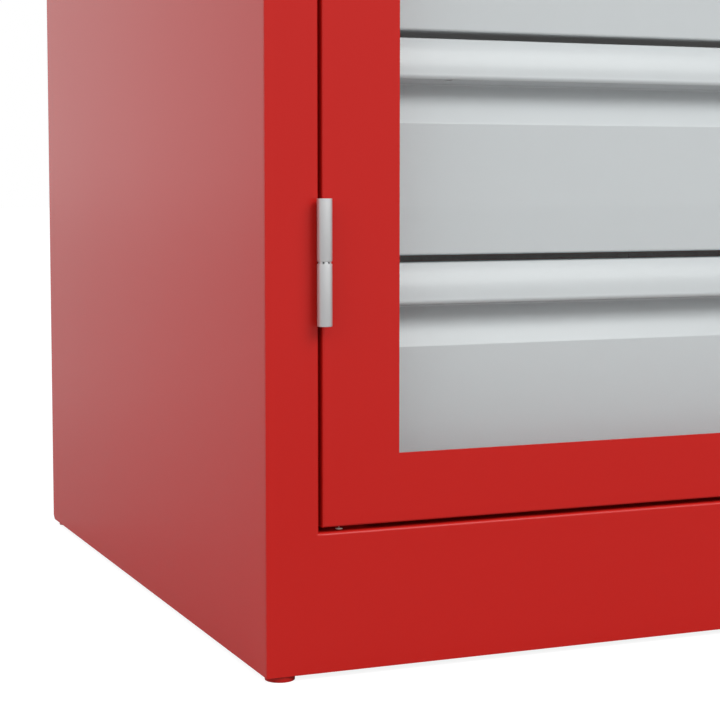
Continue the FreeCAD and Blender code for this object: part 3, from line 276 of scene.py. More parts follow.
def dress_nodes():
    """Every CAD node gets the material of its slot."""
    slots = {entry["node"]: entry["material_slot"] for entry in frame["record"]["subparts"]}
    for name, node in NODES.items():
        node.data.materials.clear()
        node.data.materials.append(MATERIALS[slots[name]])


dress_nodes()


# ---------------------------------------------------------------- mesh tools (millimetres)

MM = 0.001
SHEET = 1.5
FOLD = 1.6
FOLD_STEPS = 4
EDGE_STEPS = 2
BY_CORNER = 5.0
HOLE_LENGTH = 5.0
TOUCH = 0.1
# angles between two faces, in degrees
FOLDED_FROM = 30
BROKEN_FROM = 50
SHARP_FROM = 35
# the share of an edge's run along an axis that makes it a corner
ALONG = 0.9
# points round a circle, and the radius from which an arc has twice its points
SMALL_STEPS = 32
ROUND_STEPS = 48
LARGE_STEPS = 64
WIDE_ARC = 10.0


def rounded(corners, closed=True, steps=5):
    """Points along a line of corners (u, v, radius), with an arc of that radius at each corner. A
    wide arc has twice the points."""
    points = []
    count = len(corners)
    for index, (u, v, radius) in enumerate(corners):
        here = Vector((u, v))
        if radius == 0 or (not closed and index in (0, count - 1)):
            points.append(here)
            continue
        before = (Vector(corners[index - 1][:2]) - here).normalized()
        after = (Vector(corners[(index + 1) % count][:2]) - here).normalized()
        half_angle = before.angle(after) / 2
        centre = here + (before + after).normalized() * radius / math.sin(half_angle)
        first = here + before * radius / math.tan(half_angle) - centre
        last = here + after * radius / math.tan(half_angle) - centre
        turn = first.angle_signed(last)
        parts = steps * 2 if radius > WIDE_ARC else steps
        for step in range(parts + 1):
            points.append(centre + Matrix.Rotation(-turn * step / parts, 2) @ first)
    return points


def at(axis, along, u, v):
    """The point at a distance along an axis and at (u, v) across it, in the order x, y, z."""
    return {"x": (along, u, v), "y": (u, along, v), "z": (u, v, along)}[axis]


def sweep(bm, points, axis, low, high, closed=True, ends=True):
    """Carries a line of points across an axis from low to high. ends closes both ends."""
    near = [bm.verts.new(at(axis, low, *point)) for point in points]
    far = [bm.verts.new(at(axis, high, *point)) for point in points]
    count = len(points)
    for index in range(count if closed else count - 1):
        after = (index + 1) % count
        bm.faces.new((near[index], near[after], far[after], far[index]))
    if ends:
        bm.faces.new(near[::-1])
        bm.faces.new(far)


def lathe(bm, profile, axis, across, steps=ROUND_STEPS):
    """Turns a line of (radius, along) points about an axis through across. Radius 0 is a tip."""
    rings = []
    for radius, along in profile:
        if radius == 0:
            rings.append([bm.verts.new(at(axis, along, *across))] * steps)
            continue
        ring = []
        for step in range(steps):
            turn = math.tau * step / steps
            u = across[0] + radius * math.cos(turn)
            v = across[1] + radius * math.sin(turn)
            ring.append(bm.verts.new(at(axis, along, u, v)))
        rings.append(ring)
    for one, two in zip(rings, rings[1:]):
        for step in range(steps):
            after = (step + 1) % steps
            corners = [one[step], one[after], two[after], two[step]]
            bm.faces.new(list(dict.fromkeys(corners)))


def slab(bm, x, y, z):
    """A block between two planes along each axis."""
    sweep(bm, [(x[0], y[0]), (x[1], y[0]), (x[1], y[1]), (x[0], y[1])], "z", *z)


def grid(bm, xs, zs, y, holes):
    """An upright sheet at the depth y, in cells between the lines xs and zs. It is open at the
    cells in holes."""
    corner = {}
    for i, x in enumerate(xs):
        for j, z in enumerate(zs):
            corner[i, j] = bm.verts.new((x, y, z))
    for i in range(len(xs) - 1):
        for j in range(len(zs) - 1):
            if (i, j) not in holes:
                around = ((i, j), (i + 1, j), (i + 1, j + 1), (i, j + 1))
                bm.faces.new([corner[place] for place in around])


def fold(bm, wanted, move):
    """Draws a flange out of the open edges whose middle wanted picks. move places a corner."""
    edges = []
    for edge in bm.edges:
        if edge.is_boundary and wanted((edge.verts[0].co + edge.verts[1].co) / 2):
            edges.append(edge)
    drawn = bmesh.ops.extrude_edge_only(bm, edges=edges)["geom"]
    for vert in (thing for thing in drawn if isinstance(thing, bmesh.types.BMVert)):
        vert.co = move(vert.co)


def add_edges(bm, **places):
    """Adds edges round a sheet at places along an axis. Next to its corners, they keep the corner's
    shading out of the long folds."""
    for axis, positions in places.items():
        for position in positions:
            bmesh.ops.bisect_plane(
                bm,
                geom=[*bm.verts, *bm.edges, *bm.faces],
                plane_co=at(axis, position, 0, 0),
                plane_no=at(axis, 1, 0, 0),
            )


def add_edges_by_corners(bm, low, high):
    """Adds edges next to a pan's four upright corners."""
    add_edges(
        bm,
        x=(low.x + BY_CORNER, high.x - BY_CORNER),
        y=(low.y + BY_CORNER, high.y - BY_CORNER),
    )


def mark_folds(bm, corner_axis):
    """Gives every folded edge the weight for a round bend, but for corners along an axis."""
    weight = bm.edges.layers.float.new("bevel_weight_edge")
    for edge in bm.edges:
        run = (edge.verts[1].co - edge.verts[0].co).normalized()
        folded = len(edge.link_faces) == 2 and edge.calc_face_angle() > math.radians(FOLDED_FROM)
        edge[weight] = float(folded and abs(run["xyz".index(corner_axis)]) < ALONG)


def add_bevel(piece, width, segments, angle=None):
    """Rounds the edges sharper than an angle, or those with a weight."""
    bevel = piece.modifiers.new("round", "BEVEL")
    bevel.width = width * MM
    bevel.segments = segments
    bevel.limit_method = "ANGLE" if angle else "WEIGHT"
    if angle:
        bevel.angle_limit = math.radians(angle)
    bevel.miter_outer = "MITER_ARC"


def settle(piece):
    """Applies the modifiers, then smooths the shading but for sharp edges."""
    graph = bpy.context.evaluated_depsgraph_get()
    final = bpy.data.meshes.new_from_object(piece.evaluated_get(graph))
    draft = piece.data
    piece.modifiers.clear()
    piece.data = final
    bpy.data.meshes.remove(draft)
    final.name = piece.name
    final.shade_smooth()
    final.set_sharp_from_angle(angle=math.radians(SHARP_FROM))


def drill(piece, axis, centre, radius):
    """Cuts a round hole through a piece."""
    bm = bmesh.new()
    across = {"x": centre[1:], "y": (centre[0], centre[2]), "z": centre[:2]}[axis]
    middle = centre["xyz".index(axis)]
    low, high = middle - HOLE_LENGTH / 2, middle + HOLE_LENGTH / 2
    lathe(bm, [(0, low), (radius, low), (radius, high), (0, high)], axis, across, SMALL_STEPS)
    bmesh.ops.recalc_face_normals(bm, faces=bm.faces)
    bmesh.ops.scale(bm, vec=(MM, MM, MM), verts=bm.verts)
    mesh = bpy.data.meshes.new("drill")
    bm.to_mesh(mesh)
    bm.free()
    tool = bpy.data.objects.new("drill", mesh)
    bpy.context.scene.collection.objects.link(tool)
    cut = piece.modifiers.new("hole", "BOOLEAN")
    cut.object = tool
    cut.solver = "EXACT"
    settle(piece)
    bpy.data.objects.remove(tool)
    bpy.data.meshes.remove(mesh)


def add_piece(
    name, bm, slot, body, nodes, bend=0.0, corner="z", sheet=0.0, edge=0.0, solid=True
):
    """Makes a piece of a mesh in millimetres. It rides on a body and stands for CAD nodes. bend
    rounds a surface's folds but not its corners, which lie along the corner axis. sheet is its
    thickness, and edge breaks the edges that are still sharp."""
    if solid:
        bmesh.ops.recalc_face_normals(bm, faces=bm.faces)
    if bend:
        mark_folds(bm, corner)
    bmesh.ops.scale(bm, vec=(MM, MM, MM), verts=bm.verts)
    mesh = bpy.data.meshes.new(name)
    bm.to_mesh(mesh)
    bm.free()
    mesh.materials.append(MATERIALS[slot])
    piece = bpy.data.objects.new(name, mesh)
    bpy.context.scene.collection.objects.link(piece)
    if bend:
        add_bevel(piece, bend, FOLD_STEPS)
    if sheet:
        thick = piece.modifiers.new("sheet", "SOLIDIFY")
        thick.thickness = sheet * MM
        thick.offset = -1
        thick.use_even_offset = True
    if edge:
        add_bevel(piece, edge, EDGE_STEPS, BROKEN_FROM)
    settle(piece)
    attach(piece, body)
    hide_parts(*nodes)
    return piece


def even_shading(piece):
    """Keeps large faces flat beside small rounded ones."""
    weighted = piece.modifiers.new("normals", "WEIGHTED_NORMAL")
    weighted.keep_sharp = True


def add_sheet(name, bm, slot, body, node, bend, edge, corner="z", thickness=SHEET):
    """Makes a piece of folded sheet from its outer surface."""
    piece = add_piece(
        name,
        bm,
        slot,
        body,
        [node],
        bend=bend,
        corner=corner,
        sheet=thickness,
        edge=edge,
        solid=False,
    )
    even_shading(piece)


# ---------------------------------------------------------------- carcass

HALF = 350.0
FACE = -286.0
BACK = 314.0
BASE = 4.0
TOP = 1950.0
OPENING_HALF = 313.85
DOOR_OPENING = (95.5, 922.0)
ROLL_OPENING = (962.0, 1785.0)
FRAME_RETURN = 20.0
FRAME_FOLD = 2.3
FLANGE = 20.0
REAR_NOTCH = 4.0
INSIDE = 1.0
GLIDE_X = 337.0
GLIDE_Y = (-274.5, 302.5)


def front_frame():
    """The front frame: one sheet with both openings' edges folded back."""
    bm = bmesh.new()
    xs = (-HALF, -OPENING_HALF, OPENING_HALF, HALF)
    zs = (BASE, *DOOR_OPENING, *ROLL_OPENING, TOP)
    grid(bm, xs, zs, FACE, holes={(1, 1), (1, 3)})

    def at_opening(point):
        beside = abs(point.x) < OPENING_HALF + INSIDE
        return beside and BASE + INSIDE < point.z < TOP - INSIDE

    fold(bm, at_opening, lambda corner: corner + Vector((0, FRAME_RETURN, 0)))
    levels = []
    for low, high in (DOOR_OPENING, ROLL_OPENING):
        levels += [low + BY_CORNER, high - BY_CORNER]
    add_edges(bm, x=(BY_CORNER - OPENING_HALF, OPENING_HALF - BY_CORNER), z=levels)
    add_sheet(
        "front_sheet", bm, "red_paint", "cabinet", "front_frame", FRAME_FOLD, 0.4, corner="y"
    )


def side_panels():
    """Side sheets with their front and rear edges folded in, and a cut lower rear corner."""
    front = FACE + SHEET
    corner_y, corner_z = BACK - REAR_NOTCH, BASE + REAR_NOTCH
    plane = [(front, BASE), (corner_y, BASE), (BACK, corner_z), (BACK, TOP), (front, TOP)]

    def at_fold(point):
        return abs(point.y - front) < TOUCH or abs(point.y - BACK) < TOUCH

    for side, name in ((-1, "left"), (1, "right")):
        bm = bmesh.new()
        outer, inner = HALF * side, (HALF - FLANGE) * side
        verts = [bm.verts.new((outer, y, z)) for y, z in plane]
        bm.faces.new(verts if side > 0 else verts[::-1])
        fold(bm, at_fold, lambda corner: Vector((inner, corner.y, corner.z)))
        node = f"{name}_side_panel"
        add_sheet(f"{name}_side_sheet", bm, "red_paint", "cabinet", node, FOLD, 0.3)


def pans():
    """Level sheets with all four edges folded down: top, deck, floor and shelves."""
    for node, slot in (
        ("top_panel", "red_paint"),
        ("middle_deck", "red_paint"),
        ("floor_panel", "red_paint"),
        ("shelf_1", "grey_paint"),
        ("shelf_2", "grey_paint"),
    ):
        low, high = (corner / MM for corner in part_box(node))
        bm = bmesh.new()
        corners = [(low.x, low.y), (high.x, low.y), (high.x, high.y), (low.x, high.y)]
        bm.faces.new([bm.verts.new((x, y, high.z)) for x, y in corners])
        fold(bm, lambda point: True, lambda corner: corner - Vector((0, 0, high.z - low.z)))
        add_edges_by_corners(bm, low, high)
        add_sheet(f"{node}_sheet", bm, slot, "cabinet", node, FOLD, 0.3)


def feet():
    """Round glide feet: a disc with a rounded rim on a threaded stud."""
    bm = bmesh.new()
    disc = [(0, 0), (9.5, 0), (9.75, 0.1), (9.8, 0.3), (9.8, 3.4), (9.6, 3.8), (9.3, 3.95)]
    stud = [(4, 4), (4, 17.4), (3.4, 18), (0, 18)]
    for x in (-GLIDE_X, GLIDE_X):
        for y in GLIDE_Y:
            lathe(bm, disc + stud, "z", (x, y))
    add_piece("feet", bm, "red_plastic", "cabinet", ["foot_glides"])


# ---------------------------------------------------------------- door

DOOR_HALF = 311.55
DOOR_Z = (98.7, 918.8)
WINDOW_HALF = 258.2
WINDOW_Z = (144.2, 873.3)
DOOR_DEPTH = 18.0
DOOR_LIP = 12.0


def door_frame():
    """The door's sheet: a window, edges folded back and their lips folded in."""
    bm = bmesh.new()
    xs = (-DOOR_HALF, -WINDOW_HALF, WINDOW_HALF, DOOR_HALF)
    grid(bm, xs, (DOOR_Z[0], *WINDOW_Z, DOOR_Z[1]), FACE, holes={(1, 1)})
    back = FACE + DOOR_DEPTH

    def at_side(point):
        return abs(abs(point.x) - DOOR_HALF) < TOUCH

    def at_end(point):
        return min(abs(point.z - end) for end in DOOR_Z) < TOUCH

    def inward(corner):
        x = corner.x - math.copysign(DOOR_LIP, corner.x)
        z = corner.z + (DOOR_LIP if corner.z < sum(DOOR_Z) / 2 else -DOOR_LIP)
        return Vector(
            (x if at_side(corner) else corner.x, corner.y, z if at_end(corner) else corner.z)
        )

    def at_rim(point):
        return at_side(point) or at_end(point)

    fold(bm, at_rim, lambda corner: corner + Vector((0, DOOR_DEPTH, 0)))
    fold(bm, lambda point: abs(point.y - back) < TOUCH, inward)
    inset = DOOR_LIP + BY_CORNER
    add_edges(
        bm,
        x=(inset - DOOR_HALF, DOOR_HALF - inset),
        z=(DOOR_Z[0] + inset, DOOR_Z[1] - inset),
    )
    add_sheet("door_sheet", bm, "red_paint", "door", "door_frame", FOLD, 0.25, corner="y")


HINGE_AXIS = (-312.7, -293.0)
HINGE_MIDDLES = (268.9, 748.6)
HINGE_REACH = 40.3
HINGE_RADIUS = 4.83
LEAF = 1.8
LEAF_END = 1.0
LEAF_BACK = FACE + 15
TOOTH_HALF = 0.7
TOOTH_COUNT = 7
TOOTH_NOTCH = 1.2
TOOTH_TURN = 58.0
TOOTH_RADIUS = 4.2
TOOTH_STEPS = 6
CORE_RADIUS = 3.0
CORE_PAST = 0.2


def barrel(bm, low, high):
    """Half of a hinge's barrel, with its ends just broken."""
    r = HINGE_RADIUS
    profile = [(0, low), (r - 0.5, low), (r - 0.15, low + 0.15), (r, low + 0.5)]
    profile += [(r, high - 0.12), (r - 0.12, high), (0, high)]
    lathe(bm, profile, "z", HINGE_AXIS, SMALL_STEPS)


def hinge_teeth(bm, low, high):
    """Short teeth in a ring between the two halves of a barrel."""
    pitch = math.tau / TOOTH_COUNT
    half_tooth = pitch / 2 - TOOTH_NOTCH / TOOTH_RADIUS / 2
    for tooth in range(TOOTH_COUNT):
        centre = math.radians(TOOTH_TURN) + pitch * tooth
        turns = [
            centre + half_tooth * (2 * step / TOOTH_STEPS - 1) for step in range(TOOTH_STEPS + 1)
        ]
        outline = [(TOOTH_RADIUS, turn) for turn in turns]
        outline += [(CORE_RADIUS, turn) for turn in reversed(turns)]
        x, y = HINGE_AXIS
        ring = [(x + r * math.cos(turn), y + r * math.sin(turn)) for r, turn in outline]
        sweep(bm, ring, "z", low, high)


def hinges():
    """Barrel hinges. Teeth stand between the two halves of each barrel, round a washer that is
    black so that the notches between the teeth read dark: painted shade.
    """
    lower, upper, washers = bmesh.new(), bmesh.new(), bmesh.new()
    leaf_y = (HINGE_AXIS[1], LEAF_BACK)
    for middle in HINGE_MIDDLES:
        low, high = middle - HINGE_REACH, middle + HINGE_REACH
        split = (middle - TOOTH_HALF, middle + TOOTH_HALF)
        barrel(lower, low, split[0])
        barrel(upper, split[1], high)
        slab(lower, (-OPENING_HALF, -OPENING_HALF + LEAF), leaf_y, (low + LEAF_END, split[0]))
        slab(upper, (-DOOR_HALF - LEAF, -DOOR_HALF), leaf_y, (split[1], high - LEAF_END))
        core = (split[0] - CORE_PAST, split[1] + CORE_PAST)
        line = [(0, core[0]), (CORE_RADIUS, core[0]), (CORE_RADIUS, core[1]), (0, core[1])]
        lathe(washers, line, "z", HINGE_AXIS)
        hinge_teeth(lower, *split)
    add_piece("hinge_lower_halves", lower, "hinge_grey", "cabinet", ["hinge_frame_halves"])
    add_piece("hinge_upper_halves", upper, "hinge_grey", "door", ["hinge_door_halves"])
    # the cores' black paints shade into the notches between the teeth
    add_piece("hinge_cores", washers, "black_plastic", "cabinet", ["hinge_washers"])


BUFFER_X = 298.65
BUFFER_Y = -281.5
BUFFER_Z = (96.5, 100.2)


def buffers():
    """Buffers in the door's lower edge: a thin stem with a flat pad."""
    bm = bmesh.new()
    low, high = BUFFER_Z
    pad = [(0, low), (2.2, low), (2.4, low + 0.15), (2.4, low + 0.3), (2.2, low + 0.45)]
    stem = [(0.3, low + 0.45), (0.3, high), (0, high)]
    for x in (-BUFFER_X, BUFFER_X):
        lathe(bm, pad + stem, "z", (x, BUFFER_Y), SMALL_STEPS)
    add_piece("buffers", bm, "pale_nylon", "door", ["door_buffers"])


HANDLE = (284.875, 508.75)
HOUSING_FRONT = FACE - 4
HOUSING_BACK = FACE + 18
HOUSING_BORE = 6.05
FOOT_BACK = HOUSING_FRONT - 0.1
FOOT_FRONT = HOUSING_FRONT - 12
SPINDLE_RADIUS = 6.0
SPINDLE_Y = (HOUSING_FRONT - 1, -262.6)
GRIP_STEPS = 48
GRIP_WAIST = 0.16
# depth in front of the housing, half length and half width
GRIP_RINGS = (
    (2, 17, 5.6),
    (6, 19, 5.2),
    (12, 21.4, 5.4),
    (18, 22.6, 6.1),
    (21.5, 23, 6.5),
    (23.2, 22.6, 6.1),
    (24, 21.4, 4.9),
)


def grip_ring(bm, depth, length, width):
    """A ring round the grip: an oval with blunt ends, and narrower at its middle."""
    x, z = HANDLE
    ring = []
    for step in range(GRIP_STEPS):
        turn = math.tau * step / GRIP_STEPS
        across = math.copysign(abs(math.sin(turn)) ** 0.55, math.sin(turn)) * length
        side = math.copysign(abs(math.cos(turn)) ** 0.75, math.cos(turn)) * width
        waist = 1 - GRIP_WAIST * math.cos(math.pi / 2 * across / length)
        ring.append(bm.verts.new((x + side * waist, HOUSING_FRONT - depth, z + across)))
    return ring


def handle():
    """Turning handle: a waisted grip on a round foot, in a flanged housing."""
    front = HOUSING_FRONT
    flange = [(10, HOUSING_BACK), (10, FACE), (15.4, FACE), (16, FACE - 0.8), (16, FACE - 2.6)]
    flange += [(15.5, FACE - 3.5), (14.4, front)]
    bore = [(HOUSING_BORE, front), (HOUSING_BORE, HOUSING_BACK)]
    bm = bmesh.new()
    lathe(bm, [bore[1], *flange, *bore], "y", HANDLE, LARGE_STEPS)
    add_piece("handle_housing", bm, "black_plastic", "door", ["lock_housing"])

    bm = bmesh.new()
    foot = [(0, FOOT_BACK), (13, FOOT_BACK), (13, front - 1.6), (12.6, front - 3.4)]
    foot += [(10.6, front - 8), (9.2, FOOT_FRONT), (0, FOOT_FRONT)]
    lathe(bm, foot, "y", HANDLE, LARGE_STEPS)
    low, high = SPINDLE_Y
    spindle = [(0, low), (SPINDLE_RADIUS, low), (SPINDLE_RADIUS, high), (0, high)]
    lathe(bm, spindle, "y", HANDLE)
    rings = [grip_ring(bm, *measures) for measures in GRIP_RINGS]
    for one, two in zip(rings, rings[1:]):
        for step in range(GRIP_STEPS):
            after = (step + 1) % GRIP_STEPS
            bm.faces.new((one[step], one[after], two[after], two[step]))
    bm.faces.new(rings[0][::-1])
    bm.faces.new(rings[-1])
    add_piece("handle_grip", bm, "black_plastic", "door_lock", ["door_handle"])


# ---------------------------------------------------------------- drawers

DRAWER_COUNT = 5
DRAWER_BOTTOM = 120.3
DRAWER_PITCH = 150.0
DRAWER_HEIGHT = 145.0
DRAWER_EDGE = -241.0
DRAWER_HALF = 260.2
DRAWER_SKIN = 1.2
TRAY_FOLD = 1.5
GRIP_HOLE_X = 205.0
GRIP_HOLE_Y = DRAWER_EDGE - 4.4
GRIP_HOLE_DROP = 27.6
GRIP_HOLE_RADIUS = 3.0


def drawer_fronts():
    """Folded fronts: a curved grip ledge with a rolled lip, a hollow under it and a flat panel."""
    ledge = [(0.0, 0.0, 2.2), (-7.15, -10.8, 50), (-9.0, -24.0, 0)]
    lip = [(-9.61, -26.12, 2.9), (-8.05, -27.53, 0), (14.2, -29.9, 1.0)]
    panel = [(-1.1, -56.5, 2.0), (-1.1, -DRAWER_HEIGHT, 1.6)]
    line = [(17.5, 0.0, 0), *ledge, *lip, *panel, (17.5, -DRAWER_HEIGHT, 0)]
    for number in range(1, DRAWER_COUNT + 1):
        upper = DRAWER_BOTTOM + DRAWER_PITCH * (number - 1) + DRAWER_HEIGHT
        bm = bmesh.new()
        points = [(DRAWER_EDGE + y, upper + z) for y, z in rounded(line, closed=False)]
        sweep(bm, points, "x", -DRAWER_HALF, DRAWER_HALF, closed=False)
        bmesh.ops.recalc_face_normals(bm, faces=bm.faces)
        piece = add_piece(
            f"drawer_{number}_face",
            bm,
            "grey_paint",
            f"drawer_{number}",
            [f"drawer_{number}_front"],
            sheet=DRAWER_SKIN,
            edge=0.25,
            solid=False,
        )
        for x in (-GRIP_HOLE_X, GRIP_HOLE_X):
            drill(piece, "z", (x, GRIP_HOLE_Y, upper - GRIP_HOLE_DROP), GRIP_HOLE_RADIUS)
        even_shading(piece)


def drawer_trays():
    """Open trays with rounded folds."""
    for number in range(1, DRAWER_COUNT + 1):
        node = f"drawer_{number}_tray"
        low, high = (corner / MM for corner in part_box(node))
        bm = bmesh.new()
        corners = [(low.x, low.y), (low.x, high.y), (high.x, high.y), (high.x, low.y)]
        bm.faces.new([bm.verts.new((x, y, low.z)) for x, y in corners])
        fold(bm, lambda point: True, lambda corner: corner + Vector((0, 0, high.z - low.z)))
        add_edges_by_corners(bm, low, high)
        add_sheet(
            f"drawer_{number}_box",
            bm,
            "grey_paint",
            f"drawer_{number}",
            node,
            TRAY_FOLD,
            0.3,
            thickness=DRAWER_SKIN,
        )


# ---------------------------------------------------------------- roll front

CURTAIN_HALF = 329.35
SLAT_FRONT = -262.5
SLAT_BOTTOM = 1028.3
SLAT_PITCH = 36.0
SLAT_COUNT = 22
SLAT_TOP = SLAT_BOTTOM + SLAT_PITCH * SLAT_COUNT
STRAP_X = (-240, 0, 240)
STRAP_HALF = 15
STRAP_FOOT_Y = (-257.5, -256.7)
STRAP_HEAD_Y = (-242.3, -241.5)
STRAP_TOP = 1870.0
BAR_FRONT = -263.5
BAR_BACK = -251.5
BAR_Z = (968.3, 1028.3)
BAR_WALL = 1.5
BAR_ROUND = 1.2
GRIP_HALF = 280
GRIP_SHEET = 2
GRIP_FRONT = BAR_FRONT - 16
GRIP_Z = (972.3, 987.3)
SEAL_Y = (-261, -254)
SEAL_BOTTOM = 962.3
LOCK_Z = 1008.3
LOCK_BORE = 9.05


def curtain():
    """Slats with a crowned face and a shallow joint between them, drawn shut, on a mesh of their
    own. The real curtain draws up into the header as the roll front opens."""
    bm = bmesh.new()
    outline = [(2.6, 0.1, 0.9), (1.1, 6.5, 14), (0.0, 17.85, 60), (1.1, 29.2, 14)]
    outline += [(2.6, 35.6, 0.9), (10.0, 35.6, 1.0), (10.0, 0.1, 1.0)]
    slat = rounded(outline, steps=3)
    for index in range(SLAT_COUNT):
        low = SLAT_BOTTOM + SLAT_PITCH * index
        points = [(SLAT_FRONT + y, low + z) for y, z in slat]
        sweep(bm, points, "x", -CURTAIN_HALF, CURTAIN_HALF)
    slats = add_piece("slats", bm, "slat_aluminium", "cabinet", ["curtain_slats"])
    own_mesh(slats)


def straps():
    """Straps from the top slat to the winding tube, on a mesh of their own. On the real cabinet
    they shorten as the tube takes them up.
    """
    bm = bmesh.new()
    line = [(y, SLAT_TOP) for y in STRAP_FOOT_Y] + [(y, STRAP_TOP) for y in STRAP_HEAD_Y[::-1]]
    for x in STRAP_X:
        sweep(bm, line, "x", x - STRAP_HALF, x + STRAP_HALF)
    piece = add_piece("curtain_ties", bm, "strap_web", "cabinet", ["curtain_straps"])
    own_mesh(piece)


def shutter_bar():
    """Hollow bottom bar with a bore for its lock, then its grip and its seal."""
    bm = bmesh.new()
    low, high = BAR_Z
    line = [(BAR_FRONT, low, BAR_ROUND), (BAR_BACK, low, BAR_ROUND)]
    line += [(BAR_BACK, high, BAR_ROUND), (BAR_FRONT, high, BAR_ROUND)]
    sweep(bm, rounded(line), "x", -CURTAIN_HALF, CURTAIN_HALF, ends=False)
    bar = add_piece("bar", bm, "bar_aluminium", "shutter", ["shutter_bar"], sheet=BAR_WALL)
    drill(bar, "y", (0, BAR_FRONT, LOCK_Z), LOCK_BORE)
    even_shading(bar)

    bm = bmesh.new()
    low, high = GRIP_Z
    inner_y, inner_z = GRIP_FRONT + GRIP_SHEET, low + GRIP_SHEET
    line = [(BAR_FRONT, low, 0), (GRIP_FRONT, low, 2.4), (GRIP_FRONT, high, 0.9)]
    line += [(inner_y, high, 0.9), (inner_y, inner_z, 0.8), (BAR_FRONT, inner_z, 0)]
    sweep(bm, rounded(line), "x", -GRIP_HALF, GRIP_HALF)
    even_shading(
        add_piece("bar_grip_ledge", bm, "bar_aluminium", "shutter", ["shutter_grip"], edge=0.3)
    )

    bm = bmesh.new()
    front, back = SEAL_Y
    line = [(front, BAR_Z[0], 0), (front, SEAL_BOTTOM, 1.6)]
    line += [(back, SEAL_BOTTOM, 1.6), (back, BAR_Z[0], 0)]
    sweep(bm, rounded(line), "x", -CURTAIN_HALF, CURTAIN_HALF)
    add_piece("bar_seal", bm, "black_rubber", "shutter", ["shutter_seal"])


front_frame()
side_panels()
pans()
feet()
door_frame()
hinges()
buffers()
handle()
drawer_fronts()
drawer_trays()
curtain()
straps()
shutter_bar()


# ---------------------------------------------------------------- camera, light and floor

CAMERA_PLACE = (-0.72778, -1.35790, 0.31992)
CAMERA_YAW = 22.4077
CAMERA_PITCH = 4.6004
CAMERA_LENS = 90.896
CAMERA_SHIFT = -0.045
CAMERA_CLIP = (0.05, 60)
SENSOR = 36.0


def add_camera():
    """The photograph's viewpoint."""
    data = bpy.data.cameras.new("camera")
    data.sensor_width = SENSOR
    data.lens = CAMERA_LENS
    data.shift_y = CAMERA_SHIFT
    data.clip_start, data.clip_end = CAMERA_CLIP
    camera = bpy.data.objects.new("camera", data)
    bpy.context.scene.collection.objects.link(camera)
    camera.location = CAMERA_PLACE
    camera.rotation_euler = (math.radians(90 - CAMERA_PITCH), 0, math.radians(-CAMERA_YAW))
    bpy.context.scene.camera = camera


def add_lamp(name, place, target, size, power):
    """A softbox of a width and a height, which the camera doesn't see."""
    data = bpy.data.lights.new(name, "AREA")
    data.shape = "RECTANGLE"
    data.size, data.size_y = size
    data.energy = power
    lamp = bpy.data.objects.new(name, data)
    bpy.context.scene.collection.objects.link(lamp)
    lamp.location = place
    lamp.rotation_euler = (Vector(target) - Vector(place)).to_track_quat("-Z", "Y").to_euler()
    lamp.visible_camera = False


def set_stops(ramp, stops):
    """Gives a colour ramp its stops of (position, grey)."""
    while len(ramp.elements) < len(stops):
        ramp.elements.new(0.5)
    for element, (position, grey) in zip(ramp.elements, stops):
        element.position = position
        element.color = (grey, grey, grey, 1)


def add_world(fill, heights, sides):
    """White where the camera, glass or metal sees it, and soft fill light elsewhere. heights gives
    the share of the fill by the height of its direction, from 0 level to 1 overhead, and sides its
    share from the left and from the right."""
    world = bpy.data.worlds.new("studio")
    world.use_nodes = True
    bpy.context.scene.world = world
    nodes, links = world.node_tree.nodes, world.node_tree.links
    dim = nodes["Background"]
    direction = nodes.new("ShaderNodeTexCoord")
    parts = nodes.new("ShaderNodeSeparateXYZ")
    share = nodes.new("ShaderNodeValToRGB")
    side = nodes.new("ShaderNodeMapRange")
    side.inputs["From Min"].default_value = -1
    side.inputs["To Min"].default_value, side.inputs["To Max"].default_value = sides
    strength = nodes.new("ShaderNodeMath")
    strength.operation = "MULTIPLY"
    strength.inputs[1].default_value = fill
    set_stops(share.color_ramp, heights)
    links.new(direction.outputs["Generated"], parts.inputs["Vector"])
    links.new(parts.outputs["Z"], share.inputs["Fac"])
    links.new(parts.outputs["X"], side.inputs["Value"])
    links.new(side.outputs["Result"], strength.inputs[0])
    links.new(strength.outputs["Value"], dim.inputs["Strength"])
    links.new(share.outputs["Color"], dim.inputs["Color"])
    white = nodes.new("ShaderNodeBackground")
    white.inputs["Color"].default_value = (1, 1, 1, 1)
    white.inputs["Strength"].default_value = 1.0
    path = nodes.new("ShaderNodeLightPath")
    seen = path.outputs["Is Camera Ray"]
    for ray in ("Is Glossy Ray", "Is Transmission Ray"):
        either = nodes.new("ShaderNodeMath")
        either.operation = "MAXIMUM"
        links.new(seen, either.inputs[0])
        links.new(path.outputs[ray], either.inputs[1])
        seen = either.outputs[0]
    mix = nodes.new("ShaderNodeMixShader")
    links.new(seen, mix.inputs["Fac"])
    links.new(dim.outputs["Background"], mix.inputs[1])
    links.new(white.outputs["Background"], mix.inputs[2])
    links.new(mix.outputs["Shader"], nodes["World Output"].inputs["Surface"])


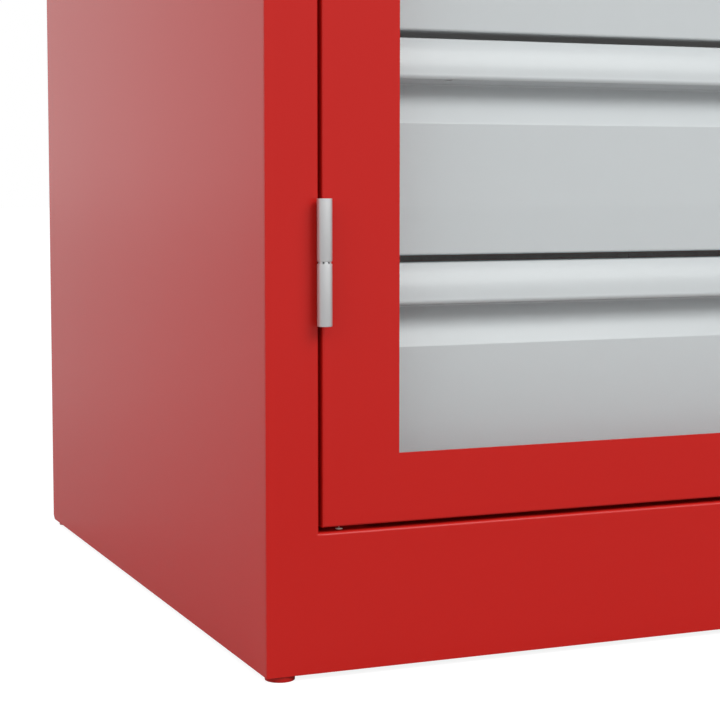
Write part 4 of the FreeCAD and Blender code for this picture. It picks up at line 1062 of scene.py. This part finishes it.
def add_floor(half_width, bounce, mirrored_with_painted_shadow, seen_bounce, seen_glow):
    """A pale floor. The camera sees it nearly white, with the object's shadow on it: a colour,
    seen_bounce, with a glow added. bounce is its colour for diffuse light. mirrored gives its
    colour in reflections by metres along y, which is darker near the cabinet: a painted shadow of
    the cabinet on the floor as reflections show it."""
    mesh = bpy.data.meshes.new("floor")
    corners = [(-half_width, -half_width, 0), (half_width, -half_width, 0)]
    corners += [(half_width, half_width, 0), (-half_width, half_width, 0)]
    mesh.from_pydata(corners, [], [(0, 1, 2, 3)])
    floor = bpy.data.objects.new("floor", mesh)
    bpy.context.scene.collection.objects.link(floor)
    material = bpy.data.materials.new("floor")
    material.use_nodes = True
    nodes, links = material.node_tree.nodes, material.node_tree.links
    nodes.remove(nodes["Principled BSDF"])
    path = nodes.new("ShaderNodeLightPath")
    level = nodes.new("ShaderNodeMapRange")
    links.new(path.outputs["Is Glossy Ray"], level.inputs["Value"])
    level.inputs["To Min"].default_value = bounce
    place = nodes.new("ShaderNodeTexCoord")
    split = nodes.new("ShaderNodeSeparateXYZ")
    links.new(place.outputs["Object"], split.inputs["Vector"])
    across = nodes.new("ShaderNodeMapRange")
    links.new(split.outputs["Y"], across.inputs["Value"])
    across.inputs["From Min"].default_value = -half_width
    across.inputs["From Max"].default_value = half_width
    ramp = nodes.new("ShaderNodeValToRGB")
    links.new(across.outputs["Result"], ramp.inputs["Fac"])
    stops = [((along + half_width) / (2 * half_width), grey) for along, grey in mirrored_with_painted_shadow]
    set_stops(ramp.color_ramp, stops)
    links.new(ramp.outputs["Color"], level.inputs["To Max"])
    pale = nodes.new("ShaderNodeBsdfDiffuse")
    links.new(level.outputs["Result"], pale.inputs["Color"])
    seen = nodes.new("ShaderNodeBsdfDiffuse")
    seen.inputs["Color"].default_value = (seen_bounce, seen_bounce, seen_bounce, 1)
    glow = nodes.new("ShaderNodeEmission")
    glow.inputs["Strength"].default_value = seen_glow
    both = nodes.new("ShaderNodeAddShader")
    links.new(seen.outputs["BSDF"], both.inputs[0])
    links.new(glow.outputs["Emission"], both.inputs[1])
    mix = nodes.new("ShaderNodeMixShader")
    links.new(path.outputs["Is Camera Ray"], mix.inputs["Fac"])
    links.new(pale.outputs["BSDF"], mix.inputs[1])
    links.new(both.outputs["Shader"], mix.inputs[2])
    links.new(mix.outputs["Shader"], nodes["Material Output"].inputs["Surface"])
    mesh.materials.append(material)


add_camera()
add_world(
    fill=0.68,
    heights=[(0.0, 0.61), (0.2, 0.77), (0.4, 1.0), (0.85, 1.0), (1.0, 0.5)],
    sides=(2.3, 0.3),
)
add_lamp("key", place=(1.16, -3.10, 2.78), target=(-0.1, -0.25, 0.25), size=(2.5, 1.8), power=97)
add_floor(
    half_width=20.0,
    bounce=0.34,
    # the floor's colour in reflections, darker near the cabinet: a painted shadow there
    mirrored_with_painted_shadow=[
        (-16.0, 1.0),
        (-8.0, 0.96),
        (-4.0, 0.8),
        (-1.0, 0.37),
        (0.0, 0.6),
        (1.4, 0.84),
        (3.0, 0.87),
        (8.0, 0.94),
        (16.0, 1.0),
    ],
    seen_bounce=0.25,
    seen_glow=0.88,
)

bpy.context.scene.view_settings.view_transform = "Standard"


def corners(bounds):
    return [list(corner) for corner in bounds]
